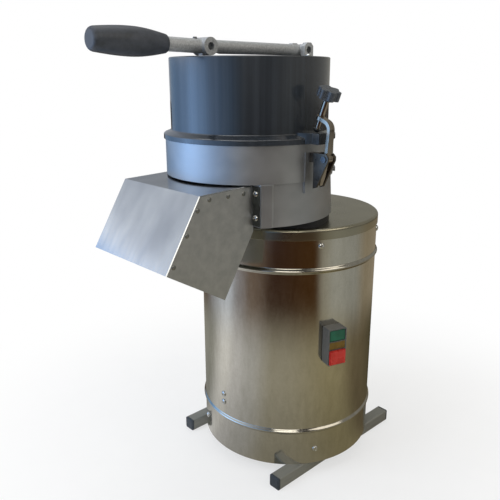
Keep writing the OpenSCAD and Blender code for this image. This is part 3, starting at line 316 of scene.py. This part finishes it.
tree.links.new(waves.outputs["Normal"], shader.inputs["Normal"])
turned("casing_drum", outer + inner, mill_steel, "machine", "casing")

# The cover is a spun stainless lid. Its edge is rounded and its skirt grips the drum.
# Wiping has left it a little duller than the drum, with slow cloudy patches.
cover_head = 398.2
cover_radius = 141.4
cover_sheet = 1.2
skirt = 16
edge = 4
rim = [
    (cover_radius - edge + edge * math.cos(a), cover_head - edge + edge * math.sin(a))
    for a in [math.radians(9 * i) for i in range(11)]
]
lid = [
    (cover_radius - 0.9, cover_head - skirt),
    (cover_radius, cover_head - skirt + 0.6),
    (cover_radius, cover_head - edge - 1),
    *rim,
    (cover_radius - edge - 2, cover_head),
    (60, cover_head),
    (0, cover_head),
    (0, cover_head - cover_sheet),
    (cover_radius - edge, cover_head - cover_sheet),
    (cover_radius - cover_sheet, cover_head - edge),
    (cover_radius - cover_sheet, cover_head - skirt),
]
spun_steel = surface(
    "spun_stainless", ("#a29e8c", "#aca896"), (0.26, 0.3), patch=45, detail=0.0, metallic=1.0
)
turned("spun_cover", lid, spun_steel, "machine", "top_cover")


# Zinc-plated pan-head screws with a cross recess hold the drum to the base pan and the deck.
# Six sit under the cover, four round the foot, and a pair holds the capacitor's clip.
# Their heads are drawn a little larger than the solids', so that they show.
def fastener_tree(name, sizes):
    """Geometry nodes whose inputs are the seats and the named sizes: the tree and its inputs."""
    tree = bpy.data.node_groups.new(name, "GeometryNodeTree")
    sockets = tree.interface
    sockets.new_socket("Seats", in_out="INPUT", socket_type="NodeSocketGeometry")
    for label in sizes:
        sockets.new_socket(label, in_out="INPUT", socket_type="NodeSocketFloat")
    sockets.new_socket("Fasteners", in_out="OUTPUT", socket_type="NodeSocketGeometry")
    return tree, add(tree, "NodeGroupInput").outputs


def on_seats(tree, given, shape, material):
    """Ends a tree with one shape on each seat, its head along the seat's outward vector."""
    outward = add(
        tree, "GeometryNodeInputNamedAttribute", {"Name": "outward"}, data_type="FLOAT_VECTOR"
    ).outputs["Attribute"]
    turn = add(tree, "FunctionNodeAlignRotationToVector", {"Vector": outward}, axis="Z")
    placed = add(
        tree,
        "GeometryNodeInstanceOnPoints",
        {"Points": given["Seats"], "Instance": shape.outputs[0], "Rotation": turn.outputs[0]},
    )
    real = add(tree, "GeometryNodeRealizeInstances", {"Geometry": placed.outputs[0]})
    coated = add(
        tree, "GeometryNodeSetMaterial", {"Geometry": real.outputs[0], "Material": material}
    )
    add(tree, "NodeGroupOutput", {"Fasteners": coated.outputs[0]})


def screw_tree(name, sizes, material):
    """Pan-head screws: a dome cut flat below, a cross recess in its top and a shank under it."""
    tree, given = fastener_tree(name, sizes)
    radius, height, width = (given[k] for k in ("Head radius", "Head height", "Recess width"))
    part = {}
    for key, source, factor in (
        ("block", "Head radius", 4.0),
        ("block down", "Head radius", -2.04),
        ("bar", "Head radius", 1.15),
        ("deep", "Recess depth", 2.0),
        ("deeper", "Recess depth", 2.1),
        ("shank down", "Shank length", -0.5),
    ):
        part[key] = add(
            tree, "ShaderNodeMath", {0: given[source], 1: factor}, operation="MULTIPLY"
        ).outputs[0]
    along = {}
    for key, x, y, z in (
        ("dome", radius, radius, height),
        ("block", part["block"], part["block"], part["block"]),
        ("under", 0.0, 0.0, part["block down"]),
        ("bar", part["bar"], width, part["deep"]),
        ("cross bar", width, part["bar"], part["deeper"]),
        ("top", 0.0, 0.0, height),
        ("sunk", 0.0, 0.0, part["shank down"]),
    ):
        along[key] = add(tree, "ShaderNodeCombineXYZ", {0: x, 1: y, 2: z}).outputs[0]
    ball = add(tree, "GeometryNodeMeshUVSphere", {"Segments": 28, "Rings": 14, "Radius": 1.0})
    head = add(
        tree, "GeometryNodeTransform", {"Geometry": ball.outputs[0], "Scale": along["dome"]}
    )
    for size, move in (("block", "under"), ("bar", "top"), ("cross bar", "top")):
        cube = add(tree, "GeometryNodeMeshCube", {"Size": along[size]}).outputs[0]
        tool = add(
            tree, "GeometryNodeTransform", {"Geometry": cube, "Translation": along[move]}
        )
        head = add(
            tree,
            "GeometryNodeMeshBoolean",
            {"Mesh 1": head.outputs[0], "Mesh 2": tool.outputs[0]},
            operation="DIFFERENCE",
        )
    shank = add(
        tree,
        "GeometryNodeMeshCylinder",
        {"Vertices": 16, "Radius": given["Shank radius"], "Depth": given["Shank length"]},
    ).outputs[0]
    sunk = add(tree, "GeometryNodeTransform", {"Geometry": shank, "Translation": along["sunk"]})
    screw = add(tree, "GeometryNodeJoinGeometry", {0: sunk.outputs[0]})
    tree.links.new(head.outputs[0], screw.inputs[0])
    on_seats(tree, given, screw, material)
    return tree


def seated(tree, name, seats, sizes, material, body, *replaced):
    """Runs a fastener tree on (point, outward) pairs in mm and keeps a plain mesh."""
    points = bpy.data.meshes.new(name + "_seats")
    points.from_pydata([Vector(p) * MM for p, _ in seats], [], [])
    outward = points.attributes.new("outward", "FLOAT_VECTOR", "POINT")
    for i, (_, direction) in enumerate(seats):
        outward.data[i].vector = direction
    carrier = bpy.data.objects.new(name + "_seats", points)
    bpy.context.scene.collection.objects.link(carrier)
    modifier = carrier.modifiers.new("seats", "NODES")
    modifier.node_group = tree
    for socket in tree.interface.items_tree:
        if socket.in_out == "INPUT" and socket.name in sizes:
            modifier[socket.identifier] = sizes[socket.name] * MM
    ready = carrier.evaluated_get(bpy.context.evaluated_depsgraph_get())
    mesh = bpy.data.meshes.new_from_object(ready)
    bpy.data.objects.remove(carrier)
    shade(mesh, angle=35)
    return settle(mesh, name, material, body, *replaced)


def polar(azimuth, radius, z):
    """Point on a drum about the casing's axis and the direction out of it."""
    out = Vector((math.cos(math.radians(azimuth)), math.sin(math.radians(azimuth)), 0))
    return out * radius + Vector((0, 0, z)), out


# Bright zinc gives small sharp highlights with a slight cloud.
zinc = surface("bright_zinc_plate", ("#bfc0be", "#d4d5d4"), (0.12, 0.22), patch=2, metallic=1.0)
first_screw = -117  # degrees, the nearest screw of both rows
cover_row, foot_row, clip_pair = 373.5, 45, (103, 117)
drum_seats = [polar(first_screw + 60 * i, casing_radius, cover_row) for i in range(6)]
drum_seats += [polar(first_screw + 90 * i, casing_radius, foot_row) for i in range(4)]
drum_seats += [polar(179, casing_radius, z) for z in clip_pair]
drum_screw = {
    "Head radius": 4.7,
    "Head height": 2.8,
    "Recess width": 0.9,
    "Recess depth": 1.3,
    "Shank radius": 2,
    "Shank length": 8,
}
pan_screw = screw_tree("pan_head_screws", drum_screw, zinc)
seated(pan_screw, "drum_screws", drum_seats, drum_screw, zinc, "machine", "casing_screws")

# The drive hangs under the deck: a motor on a plate with studs, two turned iron pulleys,
# and the spindle on two bearings in an iron housing that is bolted through to the bowl.
# Hammer paint is dark grey with a dimpled gloss.
motor_paint = surface(
    "grey_hammer_paint", ("#42484d", "#4f565b"), (0.36, 0.5), patch=4, grit=2, depth=0.1
)
dress(motor_paint, "motor_body")
dress(primer, "motor_plate")
dress(turned_steel, "motor_studs", "motor_shaft", "spindle", "spindle_bearings")
dress(zinc, "bowl_bolts", "pulley_nut")

# Machined iron is a grey metal with an open, mottled skin.
cast_iron = surface(
    "machined_cast_iron", ("#5f6365", "#757a7c"), (0.38, 0.55), patch=1.2, metallic=0.9
)
dress(cast_iron, "motor_pulley", "spindle_pulley", "bearing_housing")

# The rubber pieces are the V-belt, the spindle's lip seal and the gasket under the bowl.
# They are moulded, near black and dull, and are stretched, pressed or laid in place.
rubber = surface(
    "moulded_black_rubber", ("#161718", "#202122"), (0.55, 0.72), patch=5, grit=0.7, depth=0.03
)
dress(rubber, "drive_belt", "spindle_seal")
eased("bowl_gasket", "bowl_seat_rubber", rubber, "machine", radius=1.5, segments=3)

# The electrical pieces are the motor's run capacitor in its primed clip, the switch's contact
# block behind the wall, and the gland that is screwed into the casing's back.
# Polypropylene is milky white with a soft gloss, and moulded nylon is black and half matt.
can_plastic = surface("white_polypropylene", ("#cfcdc5", "#d9d7d0"), (0.42, 0.55), patch=8)
dress(can_plastic, "run_capacitor")
dress(primer, "capacitor_clip")
black_nylon = surface(
    "black_nylon", ("#1f2123", "#292b2e"), (0.44, 0.58), patch=2, grit=0.6, depth=0.02
)
dress(black_nylon, "contact_block")
eased("cable_gland", "cord_gland", black_nylon, "machine", radius=0.5)

# The bowl is an aluminium casting, machined on its rings and shot-blasted. Bolts hold it from
# below, through the deck and the cover. Its skin is an even silver grey. The grit that softens
# every highlight is drawn at 0.9 mm, coarser than the real one, so that it shows.
cast_silver = surface(
    "blasted_cast_aluminium",
    ("#aaacae", "#b5b7b9"),
    (0.36, 0.44),
    patch=(35, 35, 25),
    metallic=0.85,
    grit=0.9,
    depth=0.05,
    strength=0.6,
    grit_detail=2.0,
)
eased("bowl", "bowl_casting", cast_silver, "machine", radius=1.2, segments=3)

# Inside the bowl an ejector disc throws the slices out, and the cutting disc carries the knives.
# Both are turned aluminium, pale and a little uneven, and a knob holds them on the spindle.
disc_metal = surface(
    "turned_aluminium", ("#b3b4b1", "#c6c7c4"), (0.24, 0.38), patch=3, metallic=1.0
)
eased("ejector_disc", "ejector", disc_metal, "rotor", radius=0.8)
eased("cutting_disc", "knife_plate", disc_metal, "rotor", radius=0.6)

# Ground steel is the brightest metal here, with fine grinding lines.
knife_steel = surface(
    "ground_knife_steel", ("#c5c6c4", "#d9dad8"), (0.1, 0.2), patch=(0.3, 8, 8), metallic=1.0
)
dress(knife_steel, "slicing_knives")
dress(zinc, "knife_screws")

# Moulded phenolic is dark grey with a clear gloss.
knob_plastic = surface(
    "moulded_phenolic", ("#3b3f45", "#474c52"), (0.24, 0.34), patch=3, grit=0.8, depth=0.02
)
eased("disc_knob", "disc_hand_knob", knob_plastic, "rotor", radius=0.9)

# The chute is folded from stainless sheet: one bent hood over two side plates and a floor.
# The hood's top tips up a little towards the bowl, so that it meets the bowl's ring.
fold_x = -245.0
outlet_face = -157.0
top_strip = (459.5, 461.0)
fold_rise = 0.8
bowl_rise = 2.8
slope = math.radians(59)


def sheet_rim(e):
    """Outer edges where the hood's face turns into the sheet's cut side."""
    facing = 0.9
    sides = sorted((abs(f.normal.y), -f.normal.x + f.normal.z) for f in e.link_faces)
    return sides[1][0] > facing and sides[0][1] > facing


def tip_up(piece):
    """Raises the top sheet and what meets it, more and more from the fold to the bowl."""
    low, high = top_strip
    for vertex in piece.data.vertices:
        x, z = vertex.co.x / MM, vertex.co.z / MM
        along = min(max((x - fold_x) / (outlet_face - fold_x), 0.0), 1.0)
        share = min(max((z - low) / (high - low), 0.0), 1.0)
        vertex.co.z += share * (fold_rise + bowl_rise * along) * MM


# The brushed hood mirrors the window, with soft clouds of painted reflection in its tone and
# streaks that run down its slope.
hood_steel, tree, shader, place = blank("brushed_stainless_hood", 1.0)
# Painted reflection: large soft clouds lighten and darken the hood's tone.
reflection_clouds = grain(tree, place, (75, 45, 75), detail=2.0)
vary(tree, shader, reflection_clouds, tones=("#aaadb2", "#c6c8ca"))
down_slope = add(tree, "ShaderNodeMapping", {"Vector": place, "Rotation": (0, -slope, 0)})
streaks = grain(tree, down_slope.outputs[0], (150, 5, 60), detail=2.0)
vary(tree, shader, streaks, roughness=(0.17, 0.22))
hood = eased(
    "chute_hood",
    "chute_hood_sheet",
    hood_steel,
    "machine",
    radius=0.9,
    segments=1,
    chosen=sheet_rim,
)
tip_up(hood)

# Matt sheet is duller than the hood, with blotchy scuffs.
dull_steel = surface(
    "matt_stainless_sheet",
    ("#aeb0b2", "#c7c9ca"),
    (0.44, 0.58),
    patch=14,
    detail=5.0,
    rough=0.65,
    metallic=1.0,
)
eased("chute_floor", "chute_floor_sheet", dull_steel, "machine", radius=0.35)

# The side plates are cut from the same matt sheet and end in flanges on the bowl's outlet face.
# Their flanges are nearly black and matt: painted shade for the shade in the joint at the bowl.
flange_from = 86.0
flange_shade = surface(
    "painted_flange_shade",
    ("#22231e", "#383a34"),
    (0.5, 0.66),
    patch=6,
    detail=4.0,
    grit=2,
    depth=0.1,
)
for node, name in (
    ("chute_front_side", "chute_near_side_plate"),
    ("chute_rear_side", "chute_far_side_plate"),
):
    plate = eased(node, name, dull_steel, "machine", radius=0.35)
    tip_up(plate)
    # The flange faces take the painted shade, and the rest of the plate keeps the matt sheet.
    plate.data.materials.append(flange_shade)
    for face in plate.data.polygons:
        face.material_index = int(abs(face.center.y) > flange_from * MM)

# Aluminium rivets with low domed heads join the side plates to the hood's inner flanges.
# Three follow the top and three the slope on each side, and their tails are upset inside.
chute_half = 85.3
chute_corner = Vector((fold_x, 463.0))
down = Vector((-math.cos(slope), -math.sin(slope)))
across = Vector((math.sin(slope), -math.cos(slope)))
inset = 5.5
rivet_spots = [chute_corner + Vector((d, -inset)) for d in (15, 45, 71)]
rivet_spots += [chute_corner + d * down + inset * across for d in (16, 49, 90)]
rivet_seats = [
    (Vector((spot.x, side * chute_half, spot.y)), Vector((0, side, 0)))
    for spot in rivet_spots
    for side in (-1, 1)
]
rivet = {"Head radius": 3.2, "Head height": 1.2, "Shank length": 3.4}


def rivet_tree(name, sizes, material):
    """Rivets: a low dome outside the sheets and a smaller one for the tail inside them."""
    tree, given = fastener_tree(name, sizes)
    ball = add(tree, "GeometryNodeMeshUVSphere", {"Segments": 24, "Rings": 12, "Radius": 1.0})
    both = add(tree, "GeometryNodeJoinGeometry")
    for width, depth in ((1.0, 0.0), (0.8, -1.0)):
        radius, z = (
            add(tree, "ShaderNodeMath", {0: given[key], 1: factor}, operation="MULTIPLY").outputs[0]
            for key, factor in (("Head radius", width), ("Shank length", depth))
        )
        size = add(tree, "ShaderNodeCombineXYZ", {0: radius, 1: radius, 2: given["Head height"]})
        move = add(tree, "ShaderNodeCombineXYZ", {2: z})
        dome = add(
            tree,
            "GeometryNodeTransform",
            {
                "Geometry": ball.outputs[0],
                "Scale": size.outputs[0],
                "Translation": move.outputs[0],
            },
        )
        tree.links.new(dome.outputs[0], both.inputs[0])
    on_seats(tree, given, both, material)
    return tree


# Upset aluminium is grey and dull from the rivet tool.
rivet_metal = surface(
    "upset_aluminium", ("#868886", "#9a9c9a"), (0.34, 0.48), patch=1.5, metallic=1.0
)
domed_rivet = rivet_tree("domed_rivets", rivet, rivet_metal)
seated(domed_rivet, "side_rivets", rivet_seats, rivet, rivet_metal, "machine", "chute_rivets")

# Larger pan-head screws fix the chute's flanges to the outlet face,
# and the clamp's bracket and the rear keeper to the bowl's flat pads.
bowl_axis = -84.6
pad_face = 121.7
flange_sheet = 1.5
flange_middle = 91.55
keeper_sheet = 3
bracket_depth = 12.6
bowl_seats = [
    (Vector((outlet_face - flange_sheet, side * flange_middle, z)), Vector((-1, 0, 0)))
    for side in (-1, 1)
    for z in (423.7, 456.0)
]
bowl_seats += [
    (Vector((bowl_axis, pad_face + keeper_sheet, z)), Vector((0, 1, 0))) for z in (485.7, 498.7)
]
bowl_seats.append(
    (Vector((bowl_axis, -pad_face - bracket_depth, 499.95)), Vector((0, -1, 0)))
)
bowl_screw = {
    "Head radius": 4.5,
    "Head height": 3.0,
    "Recess width": 1.1,
    "Recess depth": 1.5,
    "Shank radius": 2.5,
    "Shank length": 5.4,
}
seated(pan_screw, "chute_and_pad_screws", bowl_seats, bowl_screw, zinc, "machine", "bowl_screws")

# The hopper is a round casting with a flange, covered in thick dark blue-grey enamel.
# The gloss mirrors the window as upright streaks, broken by ripples that run down the coat.
enamel = surface(
    "dark_gloss_enamel",
    ("#2b2f34", "#353a40"),
    (0.16, 0.24),
    patch=(7, 7, 400),
    grit=(2.5, 2.5, 160),
    depth=0.05,
    strength=0.5,
    grit_detail=2.0,
)
gloss = enamel.node_tree.nodes["Principled BSDF"].inputs
gloss["Coat Weight"].default_value = 0.9
gloss["Coat Roughness"].default_value = 0.12
eased("hopper", "hopper_casting", enamel, "machine", radius=1.6, segments=3)

# The keeper behind and the clamp's bracket in front are pressed steel, screwed to the bowl.
# Passivated zinc plate is a middle grey that takes on the blue of the window.
passive_zinc = surface(
    "passivated_zinc_plate",
    ("#5a5650", "#706b64"),
    (0.26, 0.42),
    patch=7,
    detail=4.0,
    metallic=0.95,
)
eased("hopper_keeper", "rear_keeper", passive_zinc, "machine", radius=0.8)
eased("clamp_bracket", "clamp_ears", passive_zinc, "machine", radius=0.7)

# The lever, its fork and the pusher are sand castings in aluminium, turning on steel pins.
# The rough skin is pale and pitted. Its pores are drawn at 2.2 mm, coarser than the real ones,
# so that they show.
sand_cast = surface(
    "sand_cast_aluminium",
    ("#9fa1a2", "#cfd1d2"),
    (0.44, 0.6),
    patch=2.2,
    detail=4.0,
    rough=0.7,
    metallic=0.5,
    grit=2.2,
    depth=0.25,
    strength=0.7,
    grit_detail=4.0,
    grit_rough=0.7,
)
eased("lever_bracket", "lever_fork", sand_cast, "machine", radius=0.8)
eased("lever_arm", "lever_casting", sand_cast, "lever", radius=0.9)
eased("pusher", "pusher_casting", sand_cast, "pusher", radius=1.2)
dress(zinc, "bracket_bolts")

# Ground pins are oiled, so their steel is dark with a soft shine.
pin_steel = surface(
    "ground_pin_steel", ("#585c60", "#6d7175"), (0.24, 0.38), patch=(3, 1, 3), metallic=1.0
)
dress(pin_steel, "lever_pin", "pusher_pin", "lever_set_screw")

# The grip is moulded vinyl pushed on the lever's end: dark, matt and rubbed a little paler.
grip_vinyl = surface(
    "matt_moulded_vinyl",
    ("#35393f", "#494d55"),
    (0.42, 0.58),
    patch=10,
    detail=4.0,
    rough=0.6,
    grit=1.0,
    depth=0.05,
    strength=0.6,
)
eased("lever_grip", "hand_grip", grip_vinyl, "lever", radius=1.0, segments=2, angle=40)

# The hook clamp is a bent bar that swings on a riveted pin. Its screw is turned by a lobed knob
# and presses on the hopper's lug through a domed nose.
# Dull nickel plate is a warm grey mirror with slight clouds.
nickel = surface(
    "dull_nickel_plate",
    ("#958b7d", "#b0a698"),
    (0.14, 0.24),
    patch=(4, 4, 12),
    detail=4.0,
    metallic=1.0,
)
eased("clamp_lever", "clamp_bar", nickel, "clamp", radius=2.2, segments=4)
dress(nickel, "clamp_screw")
dress(pin_steel, "clamp_nose", "clamp_pin")
eased("clamp_knob", "clamp_hand_knob", knob_plastic, "clamp_screw", radius=1.0)

# The switch is a twin push button in a grey housing, snapped through the drum's wall:
# a flush green start button, an amber pilot lens and a proud red stop button.
# The housing is half matt from its mould, and the buttons and the lens are smooth and glossy.
switch_grey = surface(
    "grey_polyamide", ("#545554", "#626362"), (0.28, 0.4), patch=3, grit=0.7, depth=0.02
)
eased("switch_body", "switch_housing", switch_grey, "machine", radius=0.6)
green = surface(
    "green_polycarbonate", ("#0d533d", "#126249"), (0.28, 0.34), patch=12, detail=1.0
)
eased("start_button", "green_start_button", green, "start_button", radius=0.6)
red = surface("red_polycarbonate", ("#b4261f", "#c72f27"), (0.24, 0.3), patch=12, detail=1.0)
eased("stop_button", "red_stop_button", red, "stop_button", radius=0.8)
amber = surface("amber_acrylic", ("#624a10", "#735816"), (0.18, 0.28), patch=4)
eased("pilot_lens", "amber_pilot_lens", amber, "machine", radius=0.5)

# The table is white, keeps the machine's soft shadow and fades into a white surround.
# To reflections alone it glows instead, a painted floor for the metal to mirror: one ring of tones
# near by, another beyond, and the light of a window at the left.
reach = 12.0
floor_mesh = bpy.data.meshes.new("floor")
floor_mesh.from_pydata(
    [(-reach, -reach, 0), (reach, -reach, 0), (reach, reach, 0), (-reach, reach, 0)],
    [],
    [(0, 1, 2, 3)],
)
floor = bpy.data.objects.new("floor", floor_mesh)
bpy.context.scene.collection.objects.link(floor)


def round_ramp(tree, direction, stops):
    """Colour by compass direction: stops are (degrees from +X, hex)."""
    parts = add(tree, "ShaderNodeSeparateXYZ", {0: direction}).outputs
    turn = add(
        tree, "ShaderNodeMath", {0: parts["Y"], 1: parts["X"]}, operation="ARCTAN2"
    ).outputs[0]
    share = add(
        tree, "ShaderNodeMapRange", {"Value": turn, "From Min": -math.pi, "From Max": math.pi}
    ).outputs["Result"]
    ramp = add(tree, "ShaderNodeValToRGB", {"Fac": share})
    ramp.color_ramp.interpolation = "EASE"
    bands = ramp.color_ramp.elements
    bands.remove(bands[1])
    for degrees, colour in stops:
        bands.new((degrees + 180) / 360).color = linear(colour)
    bands.remove(bands[0])
    return ramp.outputs["Color"]


table_white, tree, shader, place = blank("white_table")
shader.inputs["Roughness"].default_value = 0.85
vary(tree, shader, grain(tree, place, 60, detail=2.0), tones=("#f2f2f0", "#f6f6f4"))
path = add(tree, "ShaderNodeLightPath").outputs
near = round_ramp(
    tree,
    place,
    [
        (-180, "#cdcdcc"),
        (-150, "#b2ad9c"),
        (-80, "#a69c7a"),
        (-45, "#786c54"),
        (10, "#4c4632"),
        (60, "#8a8678"),
        (110, "#a0a098"),
        (146, "#ffffff"),
        (162, "#e4e4e6"),
        (180, "#cdcdcc"),
    ],
)
far = round_ramp(
    tree,
    place,
    [
        (-180, "#806f62"),
        (-150, "#442e20"),
        (-104, "#50351a"),
        (-92, "#aaa698"),
        (-78, "#b8b8b0"),
        (-48, "#a9a9a2"),
        (-22, "#a0947e"),
        (90, "#64544a"),
        (146, "#dfe8f8"),
        (162, "#a09ca0"),
        (180, "#806f62"),
    ],
)
# Four things change with distance from the machine, between two distances in metres: near tones
# give way to far ones, painted shadow dims the glow under it, the glow fades far off, and white
# takes over.
away = add(tree, "ShaderNodeVectorMath", {0: place}, operation="LENGTH").outputs["Value"]
change = {}
for key, start, end, low, high, kind in (
    ("far_tones", 0.5, 0.85, 0.0, 1.0, "SMOOTHSTEP"),
    ("under", 0.2, 0.42, 0.7, 1.0, "LINEAR"),
    ("beyond", 1.5, 3.0, 1.0, 0.2, "LINEAR"),
    ("white", 0.2, 0.7, 0.62, 1.0, "SMOOTHSTEP"),
):
    ends = {"From Min": start, "From Max": end, "To Min": low, "To Max": high}
    change[key] = add(
        tree, "ShaderNodeMapRange", {"Value": away, **ends}, interpolation_type=kind
    ).outputs["Result"]
painted_floor = add(
    tree, "ShaderNodeMix", {"Factor": change["far_tones"], 6: near, 7: far}, data_type="RGBA"
).outputs[2]
glow = add(
    tree, "ShaderNodeMath", {0: change["under"], 1: change["beyond"]}, operation="MULTIPLY"
).outputs[0]
# Only glossy rays see this glow: a painted reflection of a lit floor, with painted shadow near the
# machine.
mirrored = add(tree, "ShaderNodeEmission", {"Color": painted_floor, "Strength": glow})
white = add(tree, "ShaderNodeEmission", {"Color": (1, 1, 1, 1), "Strength": 1.0})
only_seen = add(
    tree,
    "ShaderNodeMath",
    {0: change["white"], 1: path["Is Camera Ray"]},
    operation="MULTIPLY",
).outputs[0]
faded = add(
    tree,
    "ShaderNodeMixShader",
    {0: only_seen, 1: shader.outputs["BSDF"], 2: white.outputs["Emission"]},
)
choice = add(
    tree,
    "ShaderNodeMixShader",
    {0: path["Is Glossy Ray"], 1: faded.outputs["Shader"], 2: mirrored.outputs["Emission"]},
)
tree.links.new(choice.outputs["Shader"], tree.nodes["Material Output"].inputs["Surface"])
floor_mesh.materials.append(table_white)


# The window is a pale pane far off and a low wide pane nearer by that holds the blue of the sky.
# A bright wall behind the camera gives the rounded edges their light lines.
def window_pane(name, turns, radius, heights, strength, stops):
    """Glowing upright strip on a wide circle about the machine, which only reflections see."""
    parts = 32
    first, last = turns
    angles = [first + (last - first) * i / parts for i in range(parts + 1)]
    mesh = bpy.data.meshes.new(name)
    mesh.from_pydata(
        [polar(angle, radius, z)[0] * MM for angle in angles for z in heights],
        [],
        [(2 * i, 2 * i + 2, 2 * i + 3, 2 * i + 1) for i in range(parts)],
    )
    glow = bpy.data.materials.new(name + "_daylight")
    glow.use_nodes = True
    tree = glow.node_tree
    tree.nodes.clear()
    colour = round_ramp(tree, add(tree, "ShaderNodeTexCoord").outputs["Object"], stops)
    day = add(tree, "ShaderNodeEmission", {"Color": colour, "Strength": strength})
    add(tree, "ShaderNodeOutputMaterial", {"Surface": day.outputs[0]})
    mesh.materials.append(glow)
    pane = bpy.data.objects.new(name, mesh)
    bpy.context.scene.collection.objects.link(pane)
    for sight in ("visible_camera", "visible_diffuse", "visible_shadow", "visible_transmission"):
        setattr(pane, sight, False)


window_pane(
    "upper_pane",
    turns=(106, 158),
    radius=3000,
    heights=(300, 1300),
    strength=1.9,
    stops=[(106, "#b4bac4"), (126, "#f0f3f8"), (158, "#f0f3f8")],
)
window_pane(
    "bright_wall",
    turns=(-152, -120),
    radius=2500,
    heights=(1000, 3200),
    strength=2.6,
    stops=[(-152, "#fffaf0"), (-120, "#fffaf0")],
)
low_pane = {"radius": 1250, "heights": (150, 660), "strength": 3.2}
window_pane(
    "lower_pane",
    turns=(84, 180),
    stops=[
        (86, "#4e5c6c"),
        (112, "#4c6684"),
        (130, "#7090b8"),
        (147, "#9cc8ff"),
        (162, "#8cb4e6"),
        (179, "#6884a8"),
    ],
    **low_pane,
)
window_pane(
    "lower_pane_end",
    turns=(-180, -144),
    stops=[(-179, "#6884a8"), (-164, "#4c6480"), (-146, "#1c2834")],
    **low_pane,
)


# The lamps are large and soft: a cool one for the window, a warm one for the room, and one above.
# The metal doesn't mirror the window's lamp, because it mirrors the panes.
def lamp(name, size, watts, place, aim, colour="#ffffff", mirrored=True):
    """A square lamp: its size, place and aim in metres, and whether the metal mirrors it."""
    data = bpy.data.lights.new(name, "AREA")
    data.size = size
    data.energy = watts
    data.color = linear(colour)[:3]
    made = bpy.data.objects.new(name, data)
    bpy.context.scene.collection.objects.link(made)
    made.location = place
    made.rotation_euler = (Vector(aim) - Vector(place)).to_track_quat("-Z", "Y").to_euler()
    made.visible_glossy = mirrored


lamp(
    "window_lamp",
    size=1.6,
    watts=40,
    place=(-2.2, 0.9, 1.9),
    aim=(0, 0, 0.4),
    colour="#e4ecfb",
    mirrored=False,
)
lamp(
    "room_lamp", size=1.8, watts=14, place=(0.6, -2.4, 2.2), aim=(0, 0, 0.35), colour="#fff6e8"
)
lamp("top_lamp", size=2.0, watts=20, place=(0.2, 0.6, 3.0), aim=(0, 0, 0.3))

# The surround is white to the camera and a soft even grey as a light.
# The metal mirrors the walls of a plain room in it, darker in front and paler by the window.
world = bpy.data.worlds.new("surround")
bpy.context.scene.world = world
world.use_nodes = True
tree = world.node_tree
tree.nodes.clear()
path = add(tree, "ShaderNodeLightPath").outputs
room = round_ramp(
    tree,
    add(tree, "ShaderNodeTexCoord").outputs["Generated"],
    [
        (-180, "#74777c"),
        (-150, "#3c3b39"),
        (-105, "#3a3836"),
        (-70, "#66645f"),
        (30, "#6a6964"),
        (80, "#747a84"),
        (112, "#a4a9b0"),
        (152, "#a4a9b0"),
        (168, "#8d949f"),
        (180, "#74777c"),
    ],
)
soft = add(tree, "ShaderNodeBackground", {"Color": linear("#dcdddd"), "Strength": 0.6})
walls = add(tree, "ShaderNodeBackground", {"Color": room, "Strength": 2.0})
seen = add(tree, "ShaderNodeBackground", {"Color": (1, 1, 1, 1), "Strength": 1.0})
lit = add(
    tree,
    "ShaderNodeMixShader",
    {0: path["Is Glossy Ray"], 1: soft.outputs[0], 2: walls.outputs[0]},
)
both = add(
    tree,
    "ShaderNodeMixShader",
    {0: path["Is Camera Ray"], 1: lit.outputs[0], 2: seen.outputs[0]},
)
add(tree, "ShaderNodeOutputWorld", {"Surface": both.outputs[0]})
bpy.context.scene.view_settings.view_transform = "Standard"
